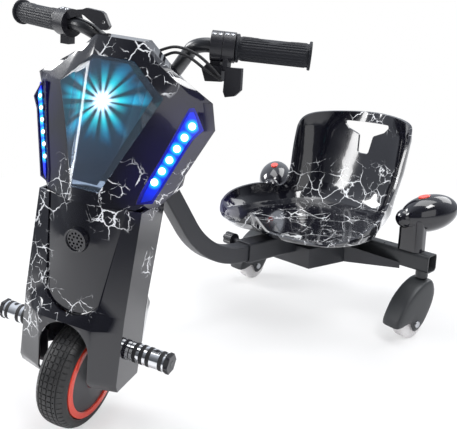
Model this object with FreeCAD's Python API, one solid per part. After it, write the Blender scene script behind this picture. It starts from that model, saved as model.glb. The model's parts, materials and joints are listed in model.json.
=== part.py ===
"""Electric drift scooter: steered front tower with a driven wheel, telescopic frame, bucket seat,
two rear pods and two swivel casters.

Millimetres, +Z up, the front looks along -Y and the rider's left is +X. The model is laid out with the
front wheel's contact point at the origin and the steering straight. At the end the steered pieces are
turned to the parked steering angle, and the whole is moved so that its box stands centred on the origin.
"""
import FreeCAD, Part
import math
import os

os.makedirs("parts", exist_ok=True)

V = FreeCAD.Vector

# Steering and front wheel
head_angle = 17.0          # lean of the steering axis from the vertical, degrees
axis_offset = 42.0         # steering axis behind the wheel's axle, at the axle's height
parked_turn = 25.0         # steering angle as it is parked, towards the rider's left, degrees
wheel_radius = 92.4
tyre_half_width = 27.0
tyre_height = 20.6         # rubber from the rim to the tread
ring_band = 10.8           # width of the red ring on the rim
ring_outer = wheel_radius - tyre_height
ring_inner = ring_outer - ring_band
ring_lip = 1.2             # the ring stands out of the tyre's side by this
axle_radius = 6.0
hub_boss = 24.0            # low boss of the motor covers round the axle
running_gap = 0.05         # radial, shafts in their bores

# Fork, spine and kingpin
leg_inner = 33.5           # inner face of a fork leg from the middle
leg_thick = 8.0
leg_width = 30.0
crown_gap = 11.2           # above the tyre
crown_bottom = 2 * wheel_radius + crown_gap
crown_height = 18.0
spine_width = 46.0
spine_depth = 22.0
spine_offset = 36.0        # spine's middle ahead of the steering axis
spine_top = 548.0
pin_radius = 12.0
head_tube_radius = 21.0
head_tube_low = 412.0      # heights on the steering axis
head_tube_high = 500.0
lug_thick = 10.0
lug_gap = 0.4

# Tower fairings
cover_half_width = 91.0
wall = 4.0
arch_half_width = 45.0
arch_top = crown_bottom + 11
cover_bottom = 105.0
cover_top = 392.0
seam = 0.4                 # open joint between two mouldings
peg_height = 158.2
peg_y = 7.2
peg_end = 161.0
peg_radius = 15.5

# Handlebar
bar_radius = 11.0
bar_height = 569.0         # straight middle of the bar
bar_y = 195.0
bar_straight = 34.0        # half length of the straight middle
bar_middle_bend = 30.0     # bend radii of the bar's middle line
bar_rise_bend = 34.0
collar_run = 38.0          # straight stretch for the two collars inboard of the grip
bar_rise_run = 24.0        # from there to the corner of the rise
collar_radius = 22.5
grip_inner = (155.4, 152.6, 629.9)
grip_outer = (262.8, 184.8, 631.1)
grip_radius = 18.0
grip_flange = 21.0

# Rear frame and telescopic frame, laid out forwards from the cross tube
cross_y = 703.0
box_length = 163.0         # seat box, from its front to the cross tube's middle
sleeve_length = 139.6
corner_run = 104.0         # from the sleeve to the point where the two straight runs would meet
bend_run = 90.7            # from that point to each end of the bend
tube_tail = 120.0          # length of tube inside the sleeve
tube_side = 34.0           # square tube
tube_wall = 3.0
slide_gap = 0.5
sleeve_wall = 3.5
frame_fall = 4.0           # the sleeve falls to the rear, degrees
sleeve_axis_z = 198.0      # at the sleeve's front end
box_front = cross_y - box_length
sleeve_rear = box_front - 0.4
sleeve_front = sleeve_rear - sleeve_length
corner_y = sleeve_front - corner_run
cross_half = 256.2
cross_depth = 34.0
cross_low = 143.0
cross_high = 181.7
cross_wall = 2.5
cross_round = 8.0
box_low = 138.3
box_half_front = 60.0
box_half_rear = 84.0
box_high = 184.0
box_flare = 90.0           # length over which the box widens
gusset_reach = 190.8
gusset_thick = 6.0
stem_x = 234.6
bushing_radius = 13.0
bushing_drop = 15.0
accessory_holes = [(143.0, -6.0), (152.0, 6.0)]    # x and distance behind the tube's middle
accessory_radius = 2.2

# Casters
caster_radius = 35.6
caster_half_width = 14.0
caster_trail = 33.2
caster_pin = 6.0
caster_axle = 4.0
hood_half_width = 24.0
hood_wall = 4.0
hood_edge_round = 7.0
swivel_left = 262.0        # heading of the trailing wheel, degrees from +X
swivel_right = 268.5

# Seat and pods
seat_wall = 6.0
seat_floor = 9.0           # thickness of the seat's floor
seat_low = 213.0
mount_half = 70.0          # seat bracket: half width, front and rear measured from the cross tube
mount_front = -103.0
mount_rear = -3.0
pod_centre = (220.0, cross_y + 34.0, 258.0)
pod_round = 39.0           # egg of the pod: greatest radius and half length
pod_half_length = 63.0
pod_heading = 33.4         # the pods point outwards to the rear, degrees from +Y
pod_rise = 9.2
pod_ball_radius = 20.0
pod_ball_ahead = 54.0      # nose ball's centre ahead of the pod's
post_size = (56.0, 33.0)
post_x = 205.0
knob_radius = 13.0


def frame_dir(angle):
    """Unit vector in the middle plane, measured from +Y towards +Z."""
    a = math.radians(angle)
    return V(0, math.cos(a), math.sin(a))


steer_dir = V(0, math.sin(math.radians(head_angle)), math.cos(math.radians(head_angle)))
steer_base = V(0, axis_offset, wheel_radius)


def on_axis(z):
    """Point of the steering axis at height z."""
    return steer_base + steer_dir * ((z - wheel_radius) / steer_dir.z)


def cylinder(start, direction, radius, length):
    return Part.makeCylinder(radius, length, V(*start), V(*direction))


def rod(start, end, radius):
    start, end = V(*start), V(*end)
    return Part.makeCylinder(radius, (end - start).Length, start, end - start)


def block(low, high):
    low, high = V(*low), V(*high)
    size = high - low
    return Part.makeBox(size.x, size.y, size.z, low)


def polygon(points):
    pts = [V(*p) for p in points]
    return Part.makePolygon(pts + [pts[0]])


def prism(points, direction):
    return Part.Face(polygon(points)).extrude(V(*direction))


def loft(wires):
    return Part.makeLoft(wires, True, True)


def mirrored(shape):
    return shape.mirror(V(0, 0, 0), V(1, 0, 0))


def both_sides(half):
    """Outline points of the right half (x >= 0), front to back, closed by their mirror image."""
    return half + [(-p[0],) + tuple(p[1:]) for p in reversed(half)]


def rounded_loop(points, radii):
    """Closed wire through the points, each corner rounded by an arc tangent to both sides."""
    pts = [V(*p) for p in points]
    count = len(pts)
    ends = []
    for i, p in enumerate(pts):
        back, ahead = pts[i - 1] - p, pts[(i + 1) % count] - p
        back.normalize()
        ahead.normalize()
        half = back.getAngle(ahead) / 2
        run = radii[i] / math.tan(half)
        inward = back + ahead
        inward.normalize()
        ends.append((p + back * run, p + inward * (radii[i] / math.sin(half) - radii[i]), p + ahead * run))
    edges = []
    for i, (first, mid, last) in enumerate(ends):
        edges.append(Part.Arc(first, mid, last).toShape())
        edges.append(Part.LineSegment(last, ends[(i + 1) % count][0]).toShape())
    return Part.Wire(edges)


def rounded_rect(centre, along, across, width, height, radius):
    """Closed wire of a rounded rectangle in the plane of two unit vectors."""
    c, a, b = V(*centre), V(*along) * (width / 2), V(*across) * (height / 2)
    return rounded_loop([c + a + b, c - a + b, c - a - b, c + a - b], [radius] * 4)


def revolve_x(profile, centre):
    """Solid of revolution about the X axis through centre, from (x, radius) points."""
    pts = [(centre[0] + x, centre[1], centre[2] + r) for x, r in profile]
    face = Part.Face(polygon(pts))
    return face.revolve(V(*centre), V(1, 0, 0), 360)


# Front wheel

def tyre():
    w, r = tyre_half_width, wheel_radius
    seat = ring_outer + 0.3
    # x, radius: crown, shoulder and side of the tyre
    profile = [(-w + 4, seat), (-w, seat + 6), (-w + 1, r - 11), (-w + 6, r - 4), (-w * 0.5, r - 1),
               (0, r), (w * 0.5, r - 1), (w - 6, r - 4), (w - 1, r - 11), (w, seat + 6), (w - 4, seat)]
    return revolve_x(profile, (0, 0, wheel_radius))


def rim_rings():
    """Red rim: two outer rings joined by the barrel that the tyre sits on."""
    w = tyre_half_width + ring_lip
    profile = [(-w, ring_inner), (-w, ring_outer), (-w + 4.5, ring_outer), (-w + 5, ring_outer - 1.5),
               (w - 5, ring_outer - 1.5), (w - 4.5, ring_outer), (w, ring_outer), (w, ring_inner)]
    return revolve_x(profile, (0, 0, wheel_radius))


def hub_motor():
    w = tyre_half_width
    bore = axle_radius + running_gap
    # x, radius: flat covers with a low boss round the axle
    profile = [(-w, bore), (-w, hub_boss - 4), (-w + 2, hub_boss), (-w + 2.5, ring_inner - 0.2),
               (w - 2.5, ring_inner - 0.2), (w - 2, hub_boss), (w, hub_boss - 4), (w, bore)]
    return revolve_x(profile, (0, 0, wheel_radius))


# Fork, spine, kingpin and axle

def leg_shape(side):
    """One flat fork leg, from the dropout round the axle up to the crown."""
    x = side * leg_inner if side > 0 else -leg_inner - leg_thick
    half = leg_width / 2
    top_y = on_axis(crown_bottom).y - spine_offset
    top = crown_bottom
    low = wheel_radius
    end = V(x, 0, low - half)
    edges = [
        Part.Arc(V(x, -half, low), end, V(x, half, low)).toShape(),
        Part.LineSegment(V(x, half, low), V(x, top_y + half, top)).toShape(),
        Part.LineSegment(V(x, top_y + half, top), V(x, top_y - half, top)).toShape(),
        Part.LineSegment(V(x, top_y - half, top), V(x, -half, low)).toShape(),
    ]
    leg = Part.Face(Part.Wire(edges)).extrude(V(leg_thick, 0, 0))
    bore = cylinder((x - 1, 0, low), (1, 0, 0), axle_radius + running_gap, leg_thick + 2)
    return leg.cut(bore)


def spine_point(z):
    """Middle of the spine at height z."""
    p = on_axis(z)
    return V(0, p.y - spine_offset, z)


def fork_frame():
    """Legs, crown, spine and the two lugs that hold the kingpin, one weldment."""
    y = on_axis(crown_bottom).y - spine_offset
    half = leg_inner + leg_thick
    crown = block((-half, y - leg_width / 2, crown_bottom), (half, y + leg_width / 2, crown_bottom + crown_height))
    low = spine_point(crown_bottom + crown_height)
    high = spine_point(spine_top)
    section = rounded_rect(low, (1, 0, 0), (0, 1, 0), spine_width, spine_depth, 3)
    spine = Part.Face(section).extrude(high - low)
    parts = [leg_shape(1), leg_shape(-1), spine]
    for base, lift in ((head_tube_low - lug_gap - lug_thick, 0), (head_tube_high + lug_gap, 0)):
        start = on_axis(base)
        lug_round = cylinder(start, steer_dir, head_tube_radius - 2, lug_thick)
        ahead = steer_dir.cross(V(1, 0, 0))
        arm = rounded_rect(start - ahead * (spine_offset / 2), (1, 0, 0), ahead, 30, spine_offset, 2)
        plate = Part.Face(arm).extrude(steer_dir * lug_thick)
        lug = lug_round.fuse(plate)
        hole = cylinder(start - steer_dir, steer_dir, pin_radius, lug_thick + 2)
        parts.append(lug.cut(hole))
    body = crown
    for piece in parts:
        body = body.fuse(piece)
    return body.removeSplitter()


def kingpin():
    """Steering pin through the head tube, with a nut at each end."""
    low = head_tube_low - lug_gap - lug_thick
    high = head_tube_high + lug_gap
    start = on_axis(low)
    end = on_axis(high) + steer_dir * lug_thick
    pin = rod(start, end, pin_radius)
    head = cylinder(start - steer_dir * 7, steer_dir, pin_radius + 4, 7)
    nut = cylinder(end, steer_dir, pin_radius + 4, 7)
    return pin.fuse(head).fuse(nut)


def wheel_axle():
    reach = leg_inner + leg_thick
    pin = cylinder((-reach - 12, 0, wheel_radius), (1, 0, 0), axle_radius, 2 * reach + 24)
    for x in (-reach - 8, reach):
        pin = pin.fuse(cylinder((x, 0, wheel_radius), (1, 0, 0), 11, 8))
    return pin


# Telescopic frame

def head_joint():
    """Point of the steering axis where the bent tube is welded to the head tube."""
    return on_axis((head_tube_low + head_tube_high) / 2)


def frame_line():
    """Corner, directions, tangent points and middle of the bent tube's middle line."""
    fall = frame_dir(-frame_fall)
    corner = V(0, corner_y, sleeve_axis_z + corner_run * math.tan(math.radians(frame_fall)))
    rise = head_joint() - corner
    rise.normalize()
    turn = math.acos(max(-1.0, min(1.0, (-rise).dot(fall))))
    centre_dir = (fall + rise)
    centre_dir.normalize()
    bend_radius = bend_run / math.tan(turn / 2)
    mid = corner + centre_dir * (bend_radius / math.cos(turn / 2) - bend_radius)
    return fall, corner + rise * bend_run, mid, corner + fall * bend_run


def bent_tube():
    fall, upper, mid, lower = frame_line()
    end = V(0, sleeve_front, sleeve_axis_z) + fall * tube_tail
    path = Part.Wire([
        Part.LineSegment(end, lower).toShape(),
        Part.Arc(lower, mid, upper).toShape(),
        Part.LineSegment(upper, head_joint()).toShape(),
    ])
    up = V(1, 0, 0).cross(fall)
    outer = rounded_rect(end, (1, 0, 0), up, tube_side, tube_side, 4)
    inner = rounded_rect(end, (1, 0, 0), up, tube_side - 2 * tube_wall, tube_side - 2 * tube_wall, 2)
    solid = path.makePipeShell([outer], True, True)
    hollow = path.makePipeShell([inner], True, True)
    tube = solid.cut(hollow)
    low = on_axis(head_tube_low)
    high = on_axis(head_tube_high)
    return tube.cut(rod(low - steer_dir * 60, high + steer_dir * 60, head_tube_radius))


def head_tube():
    low = on_axis(head_tube_low)
    high = on_axis(head_tube_high)
    return rod(low, high, head_tube_radius).cut(rod(low - steer_dir, high + steer_dir, pin_radius + running_gap))


def main_sleeve():
    fall = frame_dir(-frame_fall)
    up = V(1, 0, 0).cross(fall)
    start = V(0, sleeve_front, sleeve_axis_z)
    length = (sleeve_rear - sleeve_front) / fall.y
    bore = tube_side + 2 * slide_gap
    outer = Part.Face(rounded_rect(start, (1, 0, 0), up, bore + 2 * sleeve_wall, bore + 2 * sleeve_wall, 5))
    inner = Part.Face(rounded_rect(start - fall, (1, 0, 0), up, bore, bore, 4))
    sleeve = outer.extrude(fall * (length + 5)).cut(inner.extrude(fall * (length + 8)))
    return sleeve.cut(block((-60, box_front, 0), (60, box_front + 60, 400)))


def clamp_knob():
    """Lobed hand knob on a screw that presses on the tube through the sleeve's side."""
    half = tube_side / 2 + slide_gap + sleeve_wall
    y = sleeve_front + 9
    z = sleeve_axis_z + 15
    boss = cylinder((-half, y, z), (-1, 0, 0), 5, 12)
    knob = cylinder((-half - 12, y, z), (-1, 0, 0), knob_radius, 22)
    for i in range(6):
        a = math.radians(60 * i)
        centre = (-half - 13, y + (knob_radius + 2) * math.cos(a), z + (knob_radius + 2) * math.sin(a))
        knob = knob.cut(cylinder(centre, (-1, 0, 0), 4, 24))
    return boss.fuse(knob)


# Rear frame

def seat_box():
    """Flared controller and battery box that joins the sleeve to the cross tube."""
    rear = cross_y - cross_depth / 2
    half = [(box_half_front, box_front), (box_half_rear, box_front + box_flare), (box_half_rear, rear)]
    pts = [(x, y, box_low) for x, y in both_sides(half)]
    return prism(pts, (0, 0, box_high - box_low))


def cross_tube():
    """Rounded cross tube, open at both ends, with the caster bushings below."""
    z = (cross_low + cross_high) / 2
    height = cross_high - cross_low
    start = (-cross_half, cross_y, z)
    outer = Part.Face(rounded_rect(start, (0, 1, 0), (0, 0, 1), cross_depth, height, cross_round))
    inner = Part.Face(rounded_rect((-cross_half - 1, cross_y, z), (0, 1, 0), (0, 0, 1),
                                   cross_depth - 2 * cross_wall, height - 2 * cross_wall, cross_round - cross_wall))
    tube = outer.extrude(V(2 * cross_half, 0, 0)).cut(inner.extrude(V(2 * cross_half + 2, 0, 0)))
    for x in (-stem_x, stem_x):
        low = cross_low - bushing_drop
        tube = tube.fuse(cylinder((x, cross_y, low), (0, 0, 1), bushing_radius, cross_high - low - cross_wall))
        tube = tube.cut(cylinder((x, cross_y, low - 1), (0, 0, 1), caster_pin + running_gap, cross_high - low - 8))
    for side in (-1, 1):
        for x, y in accessory_holes:
            tube = tube.cut(cylinder((side * x, cross_y + y, cross_high - 5), (0, 0, 1), accessory_radius, 8))
    return tube


def gusset_plates():
    """Two wedge plates from the box out along the cross tube's front face."""
    front = cross_y - cross_depth / 2 - 0.3
    near = box_half_rear + 0.3
    solids = []
    for side in (-1, 1):
        corners = [(near, box_front + box_flare + 2), (gusset_reach, front), (near, front)]
        solids.append(prism([(side * x, y, box_low) for x, y in corners], (0, 0, gusset_thick)))
    return Part.makeCompound(solids)


def seat_mount():
    """Folded steel bracket from the box up to the seat's underside: a top plate on two legs."""
    top = seat_low - 0.3
    front, rear = cross_y + mount_front, cross_y + mount_rear
    plate = block((-mount_half, front, top - 4), (mount_half, rear, top))
    for side in (-1, 1):
        x = side * (mount_half - 20)
        plate = plate.fuse(block((x - 2, front, box_high), (x + 2, rear, top)))
        plate = plate.fuse(block((x - 14, front, box_high), (x + 14, rear - 10, box_high + 4)))
    return plate.removeSplitter()


seat_sections = [
    # z, then the right half from the front middle round to the back: x, y from the cross tube
    (213.0, [(0, -213), (50, -219), (95, -211), (135, -191), (158, -151), (156, -93),
             (135, -38), (118, -3), (88, 24), (46, 35), (0, 38)]),
    (225.0, [(0, -248), (50, -254), (103, -243), (155, -215), (181, -165), (177, -98),
             (150, -35), (134, 7), (98, 39), (51, 53), (0, 57)]),
    (245.0, [(0, -273), (50, -278), (105, -260), (165, -225), (194, -173), (190, -103),
             (158, -33), (143, 12), (105, 49), (55, 65), (0, 69)]),
    (270.0, [(0, -277), (50, -283), (105, -266), (165, -229), (199, -171), (189, -91),
             (150, -15), (143, 19), (108, 59), (56, 76), (0, 81)]),
    (330.0, [(0, -277), (50, -283), (105, -266), (165, -229), (199, -171), (189, -91),
             (152, 2), (151, 32), (118, 75), (62, 93), (0, 99)]),
    (400.0, [(0, -277), (50, -283), (105, -266), (165, -229), (199, -171), (189, -91),
             (156, 19), (155, 47), (124, 85), (66, 109), (0, 117)]),
    (448.0, [(0, -277), (50, -283), (105, -266), (165, -229), (199, -171), (189, -91),
             (157, 32), (150, 57), (118, 87), (66, 117), (0, 133)]),
]


def seat_loop(z, half, inset):
    """Closed smooth wire through the half outline and its mirror image, moved inwards by inset."""
    pts = [V(x, cross_y + y, z) for x, y in half]
    pts += [V(-p.x, p.y, z) for p in reversed(pts[1:-1])]
    moved = []
    for i, p in enumerate(pts):
        along = pts[(i + 1) % len(pts)] - pts[i - 1]
        inward = V(-along.y, along.x, 0)
        inward.normalize()
        moved.append(p + inward * inset)
    curve = Part.BSplineCurve()
    curve.interpolate(Points=moved, PeriodicFlag=True)
    return Part.Wire([curve.toShape()])


def spline(points):
    curve = Part.BSplineCurve()
    curve.interpolate(Points=[V(*p) for p in points])
    return curve.toShape()


# rim of the seat seen from the side: y from the cross tube and height, from the thigh lobe
# over the hip wing and the waist up to the back's top
side_rim = [(-217, 231), (-197, 239), (-163, 254), (-126, 264), (-88, 270), (-56, 270), (-26, 262), (-8, 272),
            (9, 298), (22, 344), (34, 383), (52, 417), (77, 432), (110, 438), (157, 447)]
# rim of the front edge seen from the front: x and height, with the hump in the middle
front_rim = [(0, 272), (25, 258), (45, 243), (75, 238), (100, 234), (150, 228), (175, 231), (215, 235)]


def rim_cutter():
    """Everything above the seat's rim."""
    x0, y_split, top = -260, cross_y + side_rim[0][0], 520
    rim = spline([(x0, cross_y + y, z) for y, z in side_rim])
    first, last = rim.valueAt(rim.FirstParameter), rim.valueAt(rim.LastParameter)
    frame = Part.makePolygon([last, V(x0, last.y, top), V(x0, first.y, top), first])
    side = Part.Face(Part.Wire([rim] + frame.Edges)).extrude(V(-2 * x0, 0, 0))
    y0 = y_split - 110
    half = spline([(x, y0, z) for x, z in front_rim])
    other = mirrored(half)
    far = front_rim[-1]
    frame = Part.makePolygon([V(far[0], y0, far[1]), V(far[0], y0, top), V(-far[0], y0, top), V(-far[0], y0, far[1])])
    front = Part.Face(Part.Wire(Part.__sortEdges__([half, other] + frame.Edges))).extrude(V(0, 110, 0))
    return side.fuse(front)


def seat_hole():
    """Rounded T through the seat's back."""
    y0 = cross_y + 40
    half = [(67, 417), (50, 399), (20, 387), (15, 345)]
    pts = [(x, y0, z) for x, z in half] + [(-x, y0, z) for x, z in reversed(half)]
    radii = [5, 10, 6, 8]
    return Part.Face(rounded_loop(pts, radii + radii[::-1])).extrude(V(0, 120, 0))


def seat_shell():
    """Bucket seat: smooth outer and inner forms, cut along the rim, with the T hole in the back."""
    outer = Part.makeLoft([seat_loop(z, half, 0) for z, half in seat_sections], True, True)
    inner_loops = []
    for i, (z, half) in enumerate(seat_sections):
        lift = (seat_floor, seat_floor * 0.4, 0, 0, 0, 0, 2)[i]
        inner_loops.append(seat_loop(z + lift, half, seat_wall))
    inner = Part.makeLoft(inner_loops, True, True)
    return outer.cut(inner).cut(rim_cutter()).cut(seat_hole())


def half_ellipse(long_half, short_half):
    """Face between a half ellipse and its long axis, which lies along Y."""
    ellipse = Part.Ellipse(V(0, -long_half, 0), V(short_half, 0, 0), V(0, 0, 0))
    arc = Part.Arc(ellipse, 0, math.pi).toShape()
    chord = Part.LineSegment(V(0, long_half, 0), V(0, -long_half, 0)).toShape()
    return Part.Face(Part.Wire([arc, chord]))


def pod_place(shape, side):
    """Move a shape from the origin, nose towards -Y, to the pod's place and direction."""
    shape.rotate(V(0, 0, 0), V(1, 0, 0), pod_rise)
    shape.rotate(V(0, 0, 0), V(0, 0, 1), -side * pod_heading)
    shape.translate(V(side * pod_centre[0], pod_centre[1], pod_centre[2]))
    return shape


def pod_form(side, grow=0.0):
    """Egg body of a pod, grown by a clearance."""
    egg = half_ellipse(pod_half_length + grow, pod_round + grow).revolve(V(0, 0, 0), V(0, 1, 0), 360)
    return pod_place(egg, side)


def pod_nose(side, grow=0.0):
    """Ball at the pod's front end."""
    ball = Part.makeSphere(pod_ball_radius + grow)
    ball.translate(V(0, -pod_ball_ahead, 0))
    return pod_place(ball, side)


def pod_lamp(side, grow=0.0):
    """Oval lamp let into the pod's top."""
    oval = Part.Ellipse(V(0, 13 + grow, 0), V(9 + grow, 0, 0), V(0, 0, 0)).toShape()
    lamp = Part.Face(Part.Wire([oval])).extrude(V(0, 0, 7 + grow))
    lamp.translate(V(0, -8, pod_round - 6 - grow))
    return pod_place(lamp, side)


def pod_body(side):
    return pod_form(side).cut(pod_nose(side, 0.2)).cut(pod_lamp(side, 0.2))


def pod_post(side):
    x = side * post_x
    low, high = cross_high, pod_centre[2] - 8
    body = Part.Face(rounded_rect((x, cross_y, low), (1, 0, 0), (0, 1, 0), post_size[0], post_size[1], 12))
    post = body.extrude(V(0, 0, high - low)).cut(pod_form(side, 0.3)).cut(pod_nose(side, 0.3))
    return max(post.Solids, key=lambda solid: solid.Volume)


# Casters, built with the stem at the origin and the wheel trailing along +X

# side view of the fender, x along the trail and z above the ground: five curves, each through its points
hood_curves = [
    [(-4, 127.5), (-17, 116), (-22, 99), (-16, 71), (0, 40), (16, 23), (33, 15.4)],
    [(33, 15.4), (44, 27), (50, 44)],
    [(50, 44), (60, 40), (74, 36), (92, 38)],
    [(92, 38), (84, 61), (65, 90), (35, 114), (4, 127.5)],
    [(4, 127.5), (-4, 127.5)],
]
# room for the roller, open to the rear and below
hood_room = [(-60, 86), (-10, 92), (0, 106), (16, 110), (32, 107), (46, 98.5), (59, 87), (69, 75), (77, 60),
             (82, 49), (86, 30), (86, -30), (-60, -30)]


def caster_hood(ground):
    """Swept fender over the roller, its two cheeks and the stem that turns in the bushing."""
    half = hood_half_width
    top = cross_low - bushing_drop - 0.5
    lift = top - 127.5
    edges = [spline([(x, -half, z + lift) for x, z in curve]) for curve in hood_curves]
    hood = Part.Face(Part.Wire(edges)).extrude(V(0, 2 * half, 0))
    crest = [e for e in hood.Edges if e.BoundBox.YLength < 0.01 and e.BoundBox.XMax > 60 and e.BoundBox.ZMax > 100]
    hood = hood.makeFillet(hood_edge_round, crest)
    inside = half - hood_wall
    room = prism([(x, -inside, z + lift) for x, z in hood_room], (0, 2 * inside, 0))
    bolt_hole = cylinder((caster_trail, half + 1, ground + caster_radius), (0, -1, 0), caster_axle, 2 * half + 2)
    stem = cylinder((0, 0, top - 12), (0, 0, 1), caster_pin, cross_high - top)
    return hood.cut(room).cut(bolt_hole).fuse(stem)


def caster_wheel(ground):
    w, r = caster_half_width, caster_radius
    profile = [(-w, caster_axle + running_gap), (-w, r - 3), (-w + 3, r), (w - 3, r), (w, r - 3),
               (w, caster_axle + running_gap)]
    wheel = revolve_x(profile, (0, 0, 0))
    wheel.rotate(V(0, 0, 0), V(0, 0, 1), 90)
    wheel.translate(V(caster_trail, 0, ground + caster_radius))
    return wheel


def caster_bolt(ground):
    hub = ground + caster_radius
    half = hood_half_width
    pin = cylinder((caster_trail, half, hub), (0, -1, 0), caster_axle, 2 * half)
    for y, d in ((half, 1), (-half, -1)):
        pin = pin.fuse(cylinder((caster_trail, y, hub), (0, d, 0), 7, 3))
    return pin


def placed_caster(shape, side, heading):
    shape = shape.copy()
    shape.rotate(V(0, 0, 0), V(0, 0, 1), heading)
    shape.translate(V(side * stem_x, cross_y, 0))
    return shape


# Tower mouldings

cover_sections = [
    # z, front middle half width, front middle y, front corner y, rear edge y
    (cover_top, 68.7, 4.0, 9.7, 82.0),
    (230.0, 48.0, -33.0, -24.0, 44.0),
    (arch_top, 46.0, -47.0, -27.0, 41.0),
    (118.0, 46.3, -52.4, -38.8, 30.0),
    (cover_bottom, 46.3, -46.0, -34.0, 27.0),
]


def cover_ring(row):
    """Plan outline of the tower's front half at one height, open towards the back."""
    z, mid, y_mid, y_corner, y_rear = row
    out = cover_half_width
    half = [(mid, y_mid, z), (out, y_corner, z), (out, y_rear, z)]
    inner = [(mid, y_mid + wall, z), (out - wall, y_corner + wall, z), (out - wall, y_rear, z)]
    loop = [(-x, y, zz) for x, y, zz in reversed(half)] + half
    loop += list(reversed(inner)) + [(-x, y, zz) for x, y, zz in inner]
    return polygon(loop)


def wheel_arch(half_width, top):
    """Opening over the wheel seen from the front, through everything."""
    y0 = -120
    rise = top - half_width
    arc = Part.Arc(V(-half_width, y0, rise), V(0, y0, top), V(half_width, y0, rise)).toShape()
    low = [V(half_width, y0, rise), V(half_width, y0, 20), V(-half_width, y0, 20), V(-half_width, y0, rise)]
    edges = [arc] + [Part.LineSegment(low[i], low[i + 1]).toShape() for i in range(3)]
    return Part.Face(Part.Wire(edges)).extrude(V(0, 300, 0))


def panel_outline(grow):
    """Front outline of the centre panel: straight flanks and a U-shaped foot."""
    y0 = -120
    top, low = cover_top, 219.0 - grow
    wide, narrow = 68.7 + grow, 47.0 + grow
    foot = 242.0
    arc = Part.Arc(V(narrow, y0, foot), V(0, y0, low), V(-narrow, y0, foot)).toShape()
    pts = [V(-narrow, y0, foot), V(-wide, y0, top + 2), V(wide, y0, top + 2), V(narrow, y0, foot)]
    edges = [arc] + [Part.LineSegment(pts[i], pts[i + 1]).toShape() for i in range(3)]
    return Part.Face(Part.Wire(edges)).extrude(V(0, 300, 0))


def fork_cover():
    shell = loft([cover_ring(row) for row in cover_sections])
    return shell.cut(wheel_arch(arch_half_width, arch_top)).cut(panel_outline(seam))


panel_sections = [
    # z, half width, y at the edge, y in the middle
    (cover_top, 68.7, 6.3, -7.0),
    (337.0, 62.0, -6.0, -19.0),
    (219.0, 52.0, -30.0, -32.0),
]


def panel_slab():
    wires = []
    for z, half, edge, mid in panel_sections:
        front = Part.Arc(V(-half, edge, z), V(0, mid, z), V(half, edge, z)).toShape()
        rear = Part.Arc(V(half, edge + wall, z), V(0, mid + wall, z), V(-half, edge + wall, z)).toShape()
        right = Part.LineSegment(V(half, edge, z), V(half, edge + wall, z)).toShape()
        left = Part.LineSegment(V(-half, edge + wall, z), V(-half, edge, z)).toShape()
        wires.append(Part.Wire([front, right, rear, left]))
    return loft(wires)


def centre_panel():
    slab = panel_slab().common(panel_outline(0))
    return slab.cut(speaker_disc(0.2))


def speaker_disc(grow=0.0):
    return cylinder((0, -26, 337), (0, 1, 0), 19 + grow, 14)


def speaker_grille():
    """Round grille: a raised rim, a recessed face and two rings of holes in it."""
    grille = speaker_disc()
    grille = grille.cut(cylinder((0, -27, 337), (0, 1, 0), 16, 3.5))
    for radius, count in ((6, 6), (11.5, 12)):
        for i in range(count):
            a = 2 * math.pi * i / count
            hole = cylinder((radius * math.cos(a), -27, 337 + radius * math.sin(a)), (0, 1, 0), 1.7, 8)
            grille = grille.cut(hole)
    return grille


rear_sections = [
    # z, half width at the seam, half width at the back, seam y, back y
    (cover_top - 12, 91.0, 60.0, 80.5, 98.0),
    (240.0, 91.0, 70.0, 46.6, 72.0),
    (208.0, 91.0, 78.0, 41.6, 82.0),
    (150.0, 91.0, 78.0, 35.2, 66.0),
    (cover_bottom, 91.0, 78.0, 27.4, 46.0),
]


def rear_shell():
    """Rear half of the tower's lower moulding."""
    wires = []
    for z, seam_half, back_half, y0, y1 in rear_sections:
        y0 = y0 + seam
        half = [(seam_half, y0, z), (back_half, y1, z)]
        inner = [(seam_half - wall, y0, z), (back_half - wall, y1 - wall, z)]
        loop = half + [(-x, y, zz) for x, y, zz in reversed(half)]
        loop += [(-x, y, zz) for x, y, zz in inner] + list(reversed(inner))
        wires.append(polygon(loop))
    shell = loft(wires).cut(wheel_arch(arch_half_width, arch_top))
    gap = 0.5
    low = spine_point(crown_bottom)
    high = spine_point(spine_top)
    section = rounded_rect(low, (1, 0, 0), (0, 1, 0), spine_width + 2 * gap, spine_depth + 2 * gap, 3)
    slot = Part.Face(section).extrude(high - low)
    return shell.cut(slot)


head_sections = [
    # z, then x and y of five corners: ridge, lens edge, lamp edge, outer corner, back corner
    (392.8, (23.0, -11.0), (25.0, -10.0), (78.0, 14.0), (98.0, 45.0), (94.0, 100.0)),
    (412.7, (23.8, -4.2), (25.0, -3.8), (98.0, 27.0), (113.0, 62.0), (106.0, 112.0)),
    (512.0, (29.7, 30.1), (68.9, 39.8), (143.0, 70.0), (155.0, 104.0), (120.0, 116.0)),
    (554.6, (32.3, 44.8), (88.3, 58.7), (131.0, 80.0), (153.0, 89.5), (118.0, 116.0)),
    (600.0, (35.0, 60.5), (58.0, 66.0), (70.0, 72.0), (75.0, 82.0), (66.0, 112.0)),
    (628.0, (33.0, 72.5), (36.0, 73.2), (38.7, 74.0), (40.0, 78.0), (38.0, 106.0)),
]


def head_ring(row, inset):
    z = row[0]
    half = []
    for i, (x, y) in enumerate(row[1:]):
        dy = inset if i < 4 else -inset
        half.append((x - inset if i >= 2 else x, y + dy, z))
    return polygon([(-p[0], p[1], p[2]) for p in reversed(half)] + half)


def head_outer():
    return loft([head_ring(row, 0) for row in head_sections])


def head_inner():
    rows = [list(row) for row in head_sections]
    rows[0][0] = rows[0][0] - 1
    rows[-1][0] = rows[-1][0] - wall
    return loft([head_ring(row, wall) for row in rows])


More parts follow.
